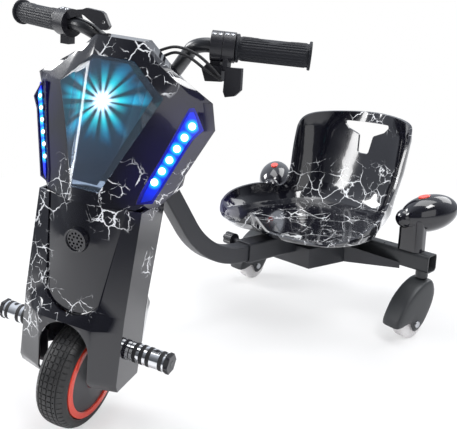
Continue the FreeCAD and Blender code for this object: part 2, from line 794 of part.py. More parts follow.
def lens_prism(grow):
    """Hexagon of the big lens seen from the front."""
    y0 = -60
    pts = [(35.0 + grow * 0.5, 600.0 + grow), (88.3 + grow, 554.6), (23.8 + grow, 412.7 - grow)]
    loop = [(x, y0, z) for x, z in pts] + [(-x, y0, z) for x, z in reversed(pts)]
    return prism(loop, (0, 135, 0))


def lens():
    wall_part = head_outer().cut(head_inner())
    return wall_part.common(lens_prism(0))


# lamp strip on the head's slanted front face: plane, outline and the two end lamps, as x and z
led_out = V(0.368, -0.902, 0.224)
led_level = 104.1          # distance of that face's plane from the origin
led_outline = [(131.2, 547), (138.1, 536.3), (149.5, 516.7), (136.6, 500.6), (99.3, 405), (76.8, 401.4),
               (80.7, 420.1), (99.9, 471.3), (124.6, 545.2)]
led_first = (133.0, 520.7)
led_last = (96.5, 436.4)
led_count = 6


def on_led_face(x, z, out=0.0):
    """Point of the head's slanted front face, or standing out of it."""
    y = (led_level - led_out.x * x - led_out.z * z) / led_out.y
    return V(x, y, z) + led_out * out


def led_plate(grow, back, front):
    """Plate with the strip's outline, grown in its plane, between two distances from the face."""
    points = [on_led_face(x, z, back) for x, z in led_outline]
    wire = Part.makePolygon(points + [points[0]])
    if grow:
        wire = wire.makeOffset2D(grow, 2)
    return Part.Face(wire).extrude(led_out * (front - back))


def led_strip(side, grow=0.0):
    """Slanted lamp strip: a rimmed tray let into the face, with a row of round lamps in it."""
    strip = led_plate(grow, -4 - grow, 2.5 + grow)
    if not grow:
        strip = strip.cut(led_plate(-2.5, -0.5, 4))
        for i in range(led_count):
            t = i / (led_count - 1)
            x, z = (led_first[k] + (led_last[k] - led_first[k]) * t for k in (0, 1))
            strip = strip.fuse(Part.makeCylinder(6.2, 2, on_led_face(x, z, -0.6), led_out))
    return strip if side > 0 else mirrored(strip)


def star_lamp():
    """Lamp head behind the lens, on a stem from the fairing's back wall."""
    dish = cylinder((0, 62, 536), (0, 1, 0), 24, 10)
    stem = cylinder((0, 72, 536), (0, 1, 0), 9, 116 - wall - 72)
    return dish.fuse(stem)


def head_fairing():
    shell = head_outer().cut(head_inner()).cut(lens_prism(0.3))
    for side in (1, -1):
        shell = shell.cut(led_strip(side, 0.2))
    slot = spine_width / 2 + 3
    return shell.cut(block((-slot, 60, 380), (slot, 200, 505)))


def pegs(side):
    """Chrome foot peg with three grooves."""
    s = 1 if side > 0 else -1
    start = cover_half_width + 0.3
    length = peg_end - start
    # distance along the peg and radius
    profile = [(0, 4.6), (0, 15.5), (length, peg_radius), (length, 4.6)]
    core = revolve_x(profile, (start, peg_y, peg_height))
    for x in (6, 18, 30, 52, 62):
        ring = revolve_x([(x, 12.5), (x, 20), (x + 6, 20), (x + 6, 12.5)], (start, peg_y, peg_height))
        core = core.cut(ring)
    core = core.cut(cylinder((start + 44, peg_y, peg_height), (0, 0, 1), 4, 30))
    return core if side > 0 else mirrored(core)


def peg_rubbers():
    start = cover_half_width + 0.3
    rings = []
    for x in (6, 18, 30, 52, 62):
        ring = revolve_x([(x, 12.5), (x, 15.9), (x + 6, 15.9), (x + 6, 12.5)], (start, peg_y, peg_height))
        rings += [ring, mirrored(ring)]
    return Part.makeCompound(rings)


# Handlebar and controls

def bar_out():
    """Direction of the left grip, outwards."""
    out = V(*grip_outer) - V(*grip_inner)
    out.normalize()
    return out


def bent_line(points, radii):
    """Open wire through the points, with an arc of the given radius at each inner one."""
    pts = [V(*p) for p in points]
    edges = []
    start = pts[0]
    for i in range(1, len(pts) - 1):
        back, ahead = pts[i - 1] - pts[i], pts[i + 1] - pts[i]
        back.normalize()
        ahead.normalize()
        half = back.getAngle(ahead) / 2
        run = radii[i - 1] / math.tan(half)
        inward = back + ahead
        inward.normalize()
        first = pts[i] + back * run
        edges.append(Part.LineSegment(start, first).toShape())
        middle = pts[i] + inward * (radii[i - 1] / math.sin(half) - radii[i - 1])
        start = pts[i] + ahead * run
        edges.append(Part.Arc(first, middle, start).toShape())
    edges.append(Part.LineSegment(start, pts[-1]).toShape())
    return Part.Wire(edges)


def round_sweep(wire, radius):
    """Round bar or cable along a wire."""
    edge = wire.Edges[0]
    start = edge.Vertexes[0].Point
    ring = Part.Wire([Part.Circle(start, edge.Vertexes[1].Point - start, radius).toShape()])
    return wire.makePipeShell([ring], True, True)


def handlebar():
    """Bar in one piece: straight middle, rise on each side and swept-back ends in the grips."""
    gi, go, out = V(*grip_inner), V(*grip_outer), bar_out()
    half = [go - out * 2, gi - out * (collar_run + bar_rise_run), V(bar_straight, bar_y, bar_height)]
    points = half + [V(-p.x, p.y, p.z) for p in reversed(half)]
    return round_sweep(bent_line(points, [bar_rise_bend, bar_middle_bend, bar_middle_bend, bar_rise_bend]), bar_radius)


def grip(side):
    gi, go = V(*grip_inner), V(*grip_outer)
    out = go - gi
    length = out.Length
    out.normalize()
    body = Part.makeCylinder(grip_radius, length, gi, out)
    body = body.fuse(Part.makeCylinder(grip_flange, 4, gi, out))
    body = body.fuse(Part.makeCylinder(grip_flange, 4, go - out * 4, out))
    body = body.cut(Part.makeCylinder(bar_radius, length - 2, gi, out))
    return body if side > 0 else mirrored(body)


def collar(near, far, radius):
    """Ring round the bar between two distances inboard of the grip."""
    gi, go = V(*grip_inner), V(*grip_outer)
    out = go - gi
    out.normalize()
    ring = Part.makeCylinder(radius, far - near, gi - out * far, out)
    return ring.cut(Part.makeCylinder(bar_radius, far - near, gi - out * far, out))


def throttle_lever():
    """Collar next to the left grip with its thumb paddle hanging below."""
    ring = collar(1, 19, collar_radius)
    neck = block((143, 134, 596), (151, 150, 618))
    pts = [(149, 602), (175, 604), (177, 572), (168, 562), (153, 558), (149, 566)]
    paddle = prism([(x, 132, z) for x, z in pts], (0, 9, 0))
    return ring.fuse(neck).fuse(paddle).cut(handlebar()).cut(grip(1))


def switch_collar():
    """Second collar, with the battery gauge and switch housing below it."""
    ring = collar(19.4, 37.4, collar_radius)
    neck = block((122, 136, 600), (138, 156, 622))
    pts = [(111, 594), (118, 603), (143, 603), (145, 580), (118, 577)]
    pod = prism([(x, 132, z) for x, z in pts], (0, 26, 0))
    return ring.fuse(neck).fuse(pod).cut(handlebar()).cut(throttle_lever())


def brake_lever():
    """Right-hand collar with its flat lever plate over the bar and a housing below."""
    ring = collar(1, 26, collar_radius)
    # x, z of the plate, from the collar inwards
    pts = [(134, 650), (104, 655), (97, 658), (70, 656), (64, 653), (54, 635), (57, 630), (61, 628), (69, 628),
           (104, 647), (134, 636)]
    plate = prism([(x, 133, z) for x, z in pts], (0, 8, 0)).cut(cylinder((65, 130, 640), (0, 1, 0), 3, 14))
    c = V(*grip_inner) - V(14, 0, 0)
    housing = block((c.x - 8, c.y - 14, c.z - 34), (c.x + 8, c.y + 4, c.z - 16))
    return mirrored(ring.fuse(plate).fuse(housing)).cut(handlebar())


def bar_clamp():
    """Stem from the spine's top back over the kingpin to the clamp round the bar."""
    start, end = spine_point(spine_top), V(0, bar_y, bar_height)
    start = start + V(0, 2, -2)
    along = end - start
    across = along.cross(V(1, 0, 0))
    across.normalize()
    stem = Part.Face(rounded_rect(start, (1, 0, 0), across, 36, 24, 3)).extrude(along)
    ring = cylinder((-18, bar_y, bar_height), (1, 0, 0), bar_radius + 6, 36)
    return stem.fuse(ring).cut(fork_frame()).cut(cylinder((-30, bar_y, bar_height), (1, 0, 0), bar_radius, 60))


cable_routes = [
    # two cables from the head's back to the controls on the rider's left
    [(35, 113.4, 605), (46, 122, 614), (66, 125, 622), (90, 120, 621.5), (112, 118, 615), (130, 120, 603),
     (146.5, 124, 588)],
    [(40, 114.6, 597), (52, 122, 606), (68, 123, 614), (88, 118, 613.5), (106, 116, 607), (122, 118, 597),
     (148, 128.5, 583)],
]
cable_radius = 2.2


def cables():
    solids = []
    for route in cable_routes:
        pts = [V(*p) for p in route]
        radii = []
        for i in range(1, len(pts) - 1):
            back, ahead = pts[i - 1] - pts[i], pts[i + 1] - pts[i]
            radii.append(0.45 * min(back.Length, ahead.Length) * math.tan(back.getAngle(ahead) / 2))
        print("cable bend radii", [round(r, 1) for r in radii])
        solids.append(round_sweep(bent_line(route, radii), cable_radius))
    return Part.makeCompound(solids)


# Assembly

def turned(shape):
    """Turn a steered piece to the parked steering angle."""
    shape = shape.copy()
    shape.rotate(steer_base, steer_dir, parked_turn)
    return shape


steered = {
    "tyre": tyre, "rim": rim_rings, "hub_motor": hub_motor,
    "fork_frame": fork_frame, "kingpin": kingpin, "wheel_axle": wheel_axle,
    "head_fairing": head_fairing, "lens": lens, "star_lamp": star_lamp,
    "led_strip_left": lambda: led_strip(1), "led_strip_right": lambda: led_strip(-1),
    "centre_panel": centre_panel, "speaker_grille": speaker_grille,
    "fork_cover": fork_cover, "rear_shell": rear_shell,
    "peg_left": lambda: pegs(1), "peg_right": lambda: pegs(-1), "peg_rubbers": peg_rubbers,
    "handlebar": handlebar, "bar_clamp": bar_clamp,
    "grip_left": lambda: grip(1), "grip_right": lambda: grip(-1),
    "throttle_lever": throttle_lever, "switch_collar": switch_collar, "brake_lever": brake_lever,
    "cables": cables,
}
fixed = {
    "bent_tube": bent_tube, "head_tube": head_tube, "main_sleeve": main_sleeve, "clamp_knob": clamp_knob,
    "seat_box": seat_box, "cross_tube": cross_tube, "gusset_plates": gusset_plates, "seat_mount": seat_mount,
    "seat_shell": seat_shell,
    "pod_post_left": lambda: pod_post(1), "pod_post_right": lambda: pod_post(-1),
    "pod_body_left": lambda: pod_body(1), "pod_body_right": lambda: pod_body(-1),
    "pod_noses": lambda: Part.makeCompound([pod_nose(1), pod_nose(-1)]),
    "pod_lamps": lambda: Part.makeCompound([pod_lamp(1), pod_lamp(-1)]),
}
casters = [("left", 1, swivel_left), ("right", -1, swivel_right)]

pieces = {}
for name, make in steered.items():
    pieces[name] = turned(make())
for name, make in fixed.items():
    pieces[name] = make()
ground = pieces["tyre"].optimalBoundingBox().ZMin
for name, side, heading in casters:
    for piece, make in (("hood", caster_hood), ("wheel", caster_wheel), ("bolt", caster_bolt)):
        pieces["caster_%s_%s" % (piece, name)] = placed_caster(make(ground), side, heading)

whole = FreeCAD.BoundBox()
for shape in pieces.values():
    whole.add(shape.optimalBoundingBox())
move = V(-(whole.XMin + whole.XMax) / 2, -(whole.YMin + whole.YMax) / 2, -whole.ZMin)
for name, shape in pieces.items():
    shape.translate(move)
    shape.exportStep("parts/%s.step" % name)

print("size", round(whole.XLength, 1), round(whole.YLength, 1), round(whole.ZLength, 1))


def report(name, point, direction):
    """Print a joint's place in metres and its axis in the finished frame."""
    p = (point + move) * 0.001
    print("joint", name, *[round(c, 6) for c in (p.x, p.y, p.z, direction.x, direction.y, direction.z)])


turn = FreeCAD.Rotation(steer_dir, parked_turn)
wheel_centre = steer_base + turn.multVec(V(0, 0, wheel_radius) - steer_base)
print("move", *[round(c, 4) for c in move])
report("frame_slide", V(0, sleeve_front, sleeve_axis_z), frame_dir(-frame_fall) * -1)
report("steering", head_joint(), steer_dir)
report("front_wheel_spin", wheel_centre, turn.multVec(V(1, 0, 0)))
for name, side, heading in casters:
    stem = V(side * stem_x, cross_y, cross_low)
    trail = FreeCAD.Rotation(V(0, 0, 1), heading)
    report("caster_swivel_" + name, stem, V(0, 0, 1))
    centre = V(stem.x, stem.y, ground + caster_radius) + trail.multVec(V(caster_trail, 0, 0))
    report("caster_wheel_spin_" + name, centre, trail.multVec(V(0, 1, 0)))
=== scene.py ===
# %% [markdown]
# # Electric drift scooter
# A three-wheeled ride-on scooter: a tall steered tower over the driven front wheel, a bent square tube back
# to a bucket seat, and two swivel casters below a cross tube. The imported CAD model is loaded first, because
# every piece made here has to sit where the construction says it sits.

# %% Load the frame
import json
import math

import bmesh
import bpy
from mathutils import Matrix, Vector

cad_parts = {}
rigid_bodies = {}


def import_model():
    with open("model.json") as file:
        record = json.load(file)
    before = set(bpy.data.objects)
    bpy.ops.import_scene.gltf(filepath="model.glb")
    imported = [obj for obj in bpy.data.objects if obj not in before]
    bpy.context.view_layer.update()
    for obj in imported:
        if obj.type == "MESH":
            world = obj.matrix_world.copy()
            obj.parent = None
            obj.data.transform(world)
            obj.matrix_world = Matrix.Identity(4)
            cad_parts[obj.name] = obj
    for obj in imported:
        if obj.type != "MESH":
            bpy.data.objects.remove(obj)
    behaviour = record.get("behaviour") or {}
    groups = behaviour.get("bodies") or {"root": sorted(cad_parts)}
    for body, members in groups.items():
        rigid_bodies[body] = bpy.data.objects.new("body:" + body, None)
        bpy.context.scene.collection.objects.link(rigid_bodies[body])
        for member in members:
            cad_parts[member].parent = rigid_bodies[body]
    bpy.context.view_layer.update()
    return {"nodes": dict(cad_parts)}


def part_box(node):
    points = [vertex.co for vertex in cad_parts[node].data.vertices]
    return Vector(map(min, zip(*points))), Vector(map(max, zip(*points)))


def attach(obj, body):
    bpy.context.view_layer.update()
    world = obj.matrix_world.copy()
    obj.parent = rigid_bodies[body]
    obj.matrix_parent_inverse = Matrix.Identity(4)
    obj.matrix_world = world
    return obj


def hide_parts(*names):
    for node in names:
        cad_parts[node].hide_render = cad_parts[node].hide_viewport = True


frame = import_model()
nodes = frame["nodes"]

# %% [markdown]
# ## Two ways to place things
# The scooter was drawn with its steering straight and then turned to the left, as it stands in the photo.
# It is easier to shape the front pieces straight as well, in millimetres, and to turn them at the end.
# `place` moves a point of the rear frame into the scene, and `steer` does the same for a point of the
# turned front.

# %% Placing helpers
MM = 0.001
CROSS_Y, CROSS_TOP = 703.0, 181.7
WHEEL_RADIUS = 92.4
STEERING_Y = 42.0
HEAD_ANGLE = math.radians(17.0)
PARKED_TURN = math.radians(25.0)
cross_low, cross_high = (Vector(corner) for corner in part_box("cross_tube"))
shift = Vector((0, (cross_low.y + cross_high.y) / 2 - CROSS_Y * MM, cross_high.z - CROSS_TOP * MM))
steer_base = Vector((0, STEERING_Y, WHEEL_RADIUS)) * MM
steer_dir = Vector((0, math.sin(HEAD_ANGLE), math.cos(HEAD_ANGLE)))
turn = (Matrix.Translation(shift) @ Matrix.Translation(steer_base)
        @ Matrix.Rotation(PARKED_TURN, 4, steer_dir) @ Matrix.Translation(-steer_base))


def place(x, y, z):
    """A point of the rear frame, from drawing millimetres."""
    return Vector((x, y, z)) * MM + shift


def steer(x, y, z):
    """A point of the steered front, from drawing millimetres with the steering straight."""
    return turn @ (Vector((x, y, z)) * MM)


print("drawing origin at", [round(c, 4) for c in shift])

# %% [markdown]
# ## Camera
# The camera comes first, so that every later choice can be checked against the photo. Its place and
# direction were solved from the straight edges and circles of the scooter: it stands to the front left,
# about 17 degrees above the horizon, and looks down slightly. The tiny shift puts the optical axis where
# the crop of the photo has it.

# %% Camera
IMAGE_WIDTH, IMAGE_HEIGHT = 457, 429
FOCAL_PIXELS = 650.0
# where the optical axis meets the picture, in pixels from its left and upper edge
AXIS_X, AXIS_Y = 226.93, 216.18
SENSOR_WIDTH = 36.0
eye = place(879.3, -482.0, 651.5)
look = Vector((-0.6927, 0.6600, -0.2908)).normalized()
right = Vector((0.6897, 0.7241, 0.0004))
right = (right - look * right.dot(look)).normalized()
up = right.cross(look)
camera_data = bpy.data.cameras.new("camera")
camera = bpy.data.objects.new("camera", camera_data)
bpy.context.scene.collection.objects.link(camera)
camera_data.sensor_width = SENSOR_WIDTH
camera_data.lens = FOCAL_PIXELS / IMAGE_WIDTH * SENSOR_WIDTH
camera_data.shift_x = (IMAGE_WIDTH / 2 - AXIS_X) / IMAGE_WIDTH
camera_data.shift_y = (AXIS_Y - IMAGE_HEIGHT / 2) / IMAGE_WIDTH
camera.matrix_world = Matrix.Translation(eye) @ Matrix((right, up, -look)).transposed().to_4x4()
bpy.context.scene.camera = camera
print("lens", round(camera_data.lens, 1), "mm")

# %% [markdown]
# ## Making a material
# Every finish starts from the same few settings, so one function makes the shader and sets its plain
# sockets. Writing the sockets out for each finish would work too, but it would hide what differs between
# them. Object coordinates are in metres and stick to the piece when it moves.

# %% Material and node helpers
COAT_ROUGHNESS = 0.03


def new_material(name, colour, roughness, metallic=0.0, coat=0.0, transmission=0.0, ior=1.5):
    material = bpy.data.materials.new(name)
    material.use_nodes = True
    shader = material.node_tree.nodes["Principled BSDF"]
    shader.inputs["Base Color"].default_value = (*colour, 1)
    shader.inputs["Roughness"].default_value = roughness
    shader.inputs["Metallic"].default_value = metallic
    shader.inputs["Coat Weight"].default_value = coat
    shader.inputs["Coat Roughness"].default_value = COAT_ROUGHNESS
    shader.inputs["Transmission Weight"].default_value = transmission
    shader.inputs["IOR"].default_value = ior
    return material


def node(material, kind, **settings):
    made = material.node_tree.nodes.new(kind)
    for key, value in settings.items():
        if key in made.inputs:
            made.inputs[key].default_value = value
        else:
            setattr(made, key, value)
    return made


def link(material, source, target):
    material.node_tree.links.new(source, target)


def shader_of(material):
    return material.node_tree.nodes["Principled BSDF"]


def object_point(material):
    return node(material, "ShaderNodeTexCoord").outputs["Object"]


print("clear coats have roughness", COAT_ROUGHNESS)

# %% [markdown]
# ## Noise, ranges and mixing
# No real surface is even. A noise texture gives a random value that changes slowly from place to place, a
# range turns that value into the numbers wanted, and a mix blends two colours by it. A painted picture
# could do the same, but these need no file and hold at any distance.

# %% Noise, ranges and mixing


def noise(material, point, scale, detail=2.0, roughness=0.5):
    made = node(material, "ShaderNodeTexNoise", Scale=scale, Detail=detail, Roughness=roughness)
    link(material, point, made.inputs["Vector"])
    return made.outputs["Fac"]


def remap(material, value, low, high, to_low=0.0, to_high=1.0):
    made = node(material, "ShaderNodeMapRange", clamp=True)
    made.inputs["From Min"].default_value = low
    made.inputs["From Max"].default_value = high
    made.inputs["To Min"].default_value = to_low
    made.inputs["To Max"].default_value = to_high
    link(material, value, made.inputs["Value"])
    return made.outputs["Result"]


def calculate(material, operation, first, second=None):
    made = node(material, "ShaderNodeMath", operation=operation)
    for index, value in enumerate((first, second)):
        if value is None:
            continue
        if isinstance(value, (int, float)):
            made.inputs[index].default_value = value
        else:
            link(material, value, made.inputs[index])
    return made.outputs[0]


def blend_colours(material, fac, first, second):
    made = node(material, "ShaderNodeMix", data_type="RGBA")
    for index, value in ((0, fac), (6, first), (7, second)):
        if isinstance(value, tuple):
            made.inputs[index].default_value = (*value, 1)
        elif isinstance(value, (int, float)):
            made.inputs[index].default_value = value
        else:
            link(material, value, made.inputs[index])
    return made.outputs[2]


print("mixing helpers take numbers, colours or sockets")

# %% [markdown]
# ## Grain, drift and haze
# Moulded and sprayed surfaces have a fine grain, rubber and nylon change slowly in colour and gloss where
# they are handled, and polished plastic is a little hazier in some places than in others. Each is one small
# function.

# %% Grain, drift and haze


def add_grain(material, scale, strength, distance=0.0004):
    """Fine bump from noise, for moulded or sprayed surfaces."""
    grain = noise(material, object_point(material), scale, 3.0)
    bump = node(material, "ShaderNodeBump", Strength=strength, Distance=distance)
    link(material, grain, bump.inputs["Height"])
    link(material, bump.outputs["Normal"], shader_of(material).inputs["Normal"])


def add_drift(material, colour, other, scale, low, high):
    """Slow changes of colour and roughness, as handling and dust leave them."""
    point = object_point(material)
    drift = noise(material, point, scale, 4.0)
    mixed = blend_colours(material, remap(material, drift, 0.35, 0.65), colour, other)
    link(material, mixed, shader_of(material).inputs["Base Color"])
    link(material, remap(material, drift, 0.3, 0.7, low, high), shader_of(material).inputs["Roughness"])


def add_haze(material, scale=14.0, low=0.08, high=0.16):
    """Roughness that drifts between two values; the plain call suits gloss plastic."""
    haze = noise(material, object_point(material), scale, 3.0)
    link(material, remap(material, haze, 0.3, 0.7, low, high), shader_of(material).inputs["Roughness"])


print("surface helpers: grain in the bump, drift in colour, haze in the gloss")

# %% [markdown]
# ## White cracks on gloss black
# The mouldings are gloss black with a film of thin white cracks, like dry lightning. Painting each line by
# hand would be slow, so the edges between the cells of a Voronoi texture are used: they already branch and
# join like cracks. Noise bends the lines, a second noise lets them fade out, and a few soft spheres say
# where cracks lie.

# %% Crack pattern


def crack_lines(material, point, scale, width, bend=0.012, gaps=(0.42, 0.56)):
    """0 to 1 mask of bent cell edges that thin out and break."""
    wobble = node(material, "ShaderNodeTexNoise", Scale=scale * 2.2, Detail=4.0, Roughness=0.62)
    link(material, point, wobble.inputs["Vector"])
    centred = node(material, "ShaderNodeVectorMath", operation="SUBTRACT")
    link(material, wobble.outputs["Color"], centred.inputs[0])
    centred.inputs[1].default_value = (0.5, 0.5, 0.5)
    pushed = node(material, "ShaderNodeVectorMath", operation="MULTIPLY_ADD")
    link(material, centred.outputs[0], pushed.inputs[0])
    pushed.inputs[1].default_value = (bend, bend, bend)
    link(material, point, pushed.inputs[2])
    cells = node(material, "ShaderNodeTexVoronoi", feature="DISTANCE_TO_EDGE", Scale=scale)
    link(material, pushed.outputs[0], cells.inputs["Vector"])
    fade = noise(material, point, scale * 0.8, 2.0)
    thick = remap(material, fade, gaps[0], gaps[1], 0.0, width)
    inside = calculate(material, "SUBTRACT", thick, cells.outputs["Distance"])
    return remap(material, inside, 0.0, width * 0.25)


def patches(material, point, spots, core=0.65):
    """Soft union of spheres, each (centre, radius); full strength out to core times the radius."""
    total = None
    for centre, radius in spots:
        away = node(material, "ShaderNodeVectorMath", operation="DISTANCE")
        link(material, point, away.inputs[0])
        away.inputs[1].default_value = centre
        near = remap(material, away.outputs["Value"], radius * core, radius, 1.0, 0.0)
        total = near if total is None else calculate(material, "MAXIMUM", total, near)
    return total


def cracked_gloss(name, spots, scale=26.0, width=0.022, glow=()):
    """Gloss black, cracked inside the spots, with the blue lamps' light painted navy in the lit spots."""
    black, navy, white = (0.005, 0.005, 0.009), (0.008, 0.006, 0.05), (0.83, 0.84, 0.86)
    material = new_material(name, black, 0.12, coat=0.6)
    point = object_point(material)
    coarse = crack_lines(material, point, scale, width)
    fine = crack_lines(material, point, scale * 2.3, width * 1.3, bend=0.006, gaps=(0.50, 0.64))
    lines = calculate(material, "MAXIMUM", coarse, fine)
    lines = calculate(material, "MULTIPLY", lines, patches(material, point, spots))
    # Painted light: a navy tint on the black where the blue lamps shine on it.
    ground = black
    if glow:
        ground = blend_colours(material, patches(material, point, glow, 0.1), black, navy)
    mixed = blend_colours(material, lines, ground, white)
    link(material, mixed, shader_of(material).inputs["Base Color"])
    add_haze(material)
    return material


print("crack film: coarse lines, and fine ones 2.3 times as dense")

# %% [markdown]
# ## The other finishes
# Each remaining finish is one call of the helper and one or two of the small functions. The numbers were
# set one by one: powder coat is mid rough with a fine orange peel, rubber is rough, chrome is a smooth metal.

# %% Plain finishes
powder_black = new_material("powder_black", (0.021, 0.022, 0.027), 0.4)
add_grain(powder_black, 900.0, 0.25, 0.0002)
rubber_black = new_material("rubber_black", (0.012, 0.012, 0.014), 0.6)
add_grain(rubber_black, 1400.0, 0.3, 0.0002)
moulded_black = new_material("moulded_black", (0.009, 0.009, 0.013), 0.33)
add_grain(moulded_black, 1800.0, 0.2, 0.00015)
satin_black = new_material("satin_black", (0.014, 0.015, 0.018), 0.3)
add_grain(satin_black, 1300.0, 0.3, 0.0002)
hood_black = new_material("hood_black", (0.032, 0.034, 0.037), 0.42)
add_grain(hood_black, 1300.0, 0.2, 0.0002)
gloss_black = new_material("gloss_black", (0.005, 0.005, 0.009), 0.12, coat=0.6)
add_haze(gloss_black)
chrome = new_material("chrome", (0.78, 0.79, 0.81), 0.08, metallic=1.0)
add_haze(chrome, 160.0, 0.05, 0.16)
plated_steel = new_material("plated_steel", (0.52, 0.53, 0.55), 0.28, metallic=1.0)
add_grain(plated_steel, 1200.0, 0.15, 0.0001)
cover_grey = new_material("cover_grey", (0.05, 0.052, 0.057), 0.4)
add_grain(cover_grey, 700.0, 0.2, 0.0002)
ring_red = new_material("ring_red", (0.80, 0.055, 0.025), 0.3, coat=0.4)
add_grain(ring_red, 500.0, 0.08, 0.0002)
tyre_rubber = new_material("tyre_rubber", (0.022, 0.022, 0.023), 0.5)
add_drift(tyre_rubber, (0.016, 0.016, 0.017), (0.032, 0.031, 0.031), 30.0, 0.4, 0.6)
roller_white = new_material("roller_white", (0.86, 0.84, 0.83), 0.25)
add_drift(roller_white, (0.86, 0.84, 0.83), (0.78, 0.75, 0.75), 60.0, 0.2, 0.35)
lamp_red = new_material("lamp_red", (0.85, 0.05, 0.02), 0.12, coat=0.8)
add_grain(lamp_red, 900.0, 0.1, 0.0003)
print("materials", len(bpy.data.materials))

# %% [markdown]
# ## Pieces with soft edges
# Most pieces keep their CAD shape. `softened` copies a node and rounds its sharp edges, because real
# mouldings and tubes have no razor edges and it is the rounded edge that catches the light. The copy is
# shown in place of the node.

# %% Pieces with soft edges
collection = bpy.context.scene.collection


def body_of(name):
    return nodes[name].parent.name.split(":", 1)[1]


def add_piece(name, vertices, faces, material, body, sharp=35.0):
    mesh = bpy.data.meshes.new(name)
    mesh.from_pydata([tuple(v) for v in vertices], [], faces)
    mesh.materials.append(material)
    mesh.shade_smooth()
    mesh.set_sharp_from_angle(angle=math.radians(sharp))
    piece = bpy.data.objects.new(name, mesh)
    collection.objects.link(piece)
    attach(piece, body)
    return piece


def round_edges(piece, width, segments=2, angle=30.0):
    bevel = piece.modifiers.new("soft_edges", "BEVEL")
    bevel.width = width * MM
    bevel.segments = segments
    bevel.limit_method = "ANGLE"
    bevel.angle_limit = math.radians(angle)
    bevel.harden_normals = True
    return piece


def softened(name, material, width=0.8, segments=2, angle=30.0):
    """Copy of a CAD node with rounded edges, which stands for the node."""
    work = bmesh.new()
    work.from_mesh(nodes[name].data)
    bmesh.ops.remove_doubles(work, verts=work.verts, dist=0.00001)
    bmesh.ops.dissolve_limit(work, angle_limit=math.radians(0.4), verts=work.verts, edges=work.edges)
    work.verts.index_update()
    vertices = [v.co.copy() for v in work.verts]
    faces = [[v.index for v in face.verts] for face in work.faces]
    work.free()
    piece = add_piece(name + "_skin", vertices, faces, material, body_of(name))
    round_edges(piece, width, segments, angle)
    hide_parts(name)
    return piece


# %% [markdown]
# ## Turned and flat pieces
# Two more ways of making a piece are enough for this scooter. `revolved` turns a profile round an axis, as
# a lathe does, and `prism` gives an outline a thickness and a bevel, as a press does. `axes_at` says where
# they stand.

# %% Turned and flat pieces


def revolved(name, profile, matrix, material, body, segments=96, closed=True):
    """Turn a profile of (along, radius) in millimetres round the local X axis of the matrix."""
    count = len(profile)
    vertices, faces = [], []
    for i in range(segments):
        angle = 2 * math.pi * i / segments
        for along, radius in profile:
            point = Vector((along, radius * math.cos(angle), radius * math.sin(angle)))
            vertices.append(matrix @ (point * MM))
    for i in range(segments):
        following = (i + 1) % segments
        for j in range(count if closed else count - 1):
            k = (j + 1) % count
            faces.append((i * count + j, i * count + k, following * count + k, following * count + j))
    return add_piece(name, vertices, faces, material, body)


def prism(name, outline, matrix, thickness, material, body, bevel=0.5):
    """Give an outline of (x, y) in millimetres a thickness along the local Z axis of the matrix."""
    count = len(outline)
    vertices = [matrix @ (Vector((x, y, z)) * MM) for z in (0.0, thickness) for x, y in outline]
    faces = [tuple(range(count))[::-1], tuple(range(count, 2 * count))]
    faces += [(i, (i + 1) % count, count + (i + 1) % count, count + i) for i in range(count)]
    return round_edges(add_piece(name, vertices, faces, material, body), bevel)


def axes_at(origin, x_axis, z_axis):
    """Matrix at a point, its X axis along one vector and its Z axis as near as can be to another."""
    x = x_axis.normalized()
    y = z_axis.cross(x).normalized()
    z = x.cross(y)
    return Matrix.Translation(origin) @ Matrix((x, y, z)).transposed().to_4x4()


def steer_vector(x, y, z):
    return turn.to_3x3() @ Vector((x, y, z))


print("the tower faces", [round(c, 3) for c in steer_vector(0, -1, 0)])

# %% [markdown]
# ## Tower mouldings
# Head, lower cover, rear shell and centre panel are injection mouldings in gloss black. Each keeps its CAD
# shape with edges rounded by about a millimetre. The spots say where the crack film lies on them: over the
# cap, round the foot of the lens, and down the rider's right flank to the wheel arch. A black plate closes
# the room between each cover's flange and its side wall.

# %% Tower mouldings
front_spots = [(steer(x, y, z), radius * MM) for x, y, z, radius in [
    (15, 62, 612, 52), (72, 72, 578, 34), (48, 12, 430, 46), (92, 38, 402, 34), (-38, 8, 425, 44),
    (112, 70, 430, 46), (-86, 8, 372, 44), (-84, -8, 300, 44), (-86, -26, 250, 50), (-84, -34, 196, 46),
    (-40, -42, 226, 42), (6, -45, 222, 32), (46, -6, 384, 40), (36, -30, 236, 24), (-52, 0, 386, 30),
    (91, 46, 300, 28), (88, 60, 160, 30)]]
# Painted light: navy spots round the blue lamps stand for their light on the black plastic.
painted_glow_spots = [(steer(x, y, z), radius * MM) for x, y, z, radius in [
    (128, 66, 512, 75), (112, 48, 472, 75), (98, 34, 435, 70), (-128, 66, 512, 60), (-98, 34, 435, 60)]]
tower_film = cracked_gloss("tower_film", front_spots, glow=painted_glow_spots)
softened("head_fairing", tower_film, 1.4, 3)
softened("fork_cover", tower_film, 1.4, 3)
softened("rear_shell", tower_film, 1.2)
softened("centre_panel", tower_film, 1.0)
# Each plate fills the gap between a cover's flange and its side wall, so the gap shows black.
GAP_PLATE_THICKNESS = 2.5
gap_plate_outline = [(0, 0), (40, 0), (40, -72), (0, -60)]
for side, suffix in ((1, "left"), (-1, "right")):
    gap_plate_axes = axes_at(steer(side * 47, -24, 108), steer_vector(side, 0, 0), steer_vector(0, side, 0))
    prism("cover_rib_" + suffix, gap_plate_outline, gap_plate_axes, GAP_PLATE_THICKNESS, moulded_black, "fork", 0.4)
softened("speaker_grille", gloss_black, 0.3, 1)
print("crack spots on the tower", len(front_spots), "and navy ones", len(painted_glow_spots))

# %% [markdown]
# ## Lens
# The big lens is smoked plastic, clear enough to show the star behind it. It keeps its CAD shape. Its
# finish lets most light through and mirrors the room on its facets.

# %% Lens
smoked = new_material("smoked", (0.3, 0.38, 0.5), 0.04, transmission=0.92, ior=1.45)
add_haze(smoked, 20.0, 0.03, 0.09)
softened("lens", smoked, 1.2, 3, 20.0)

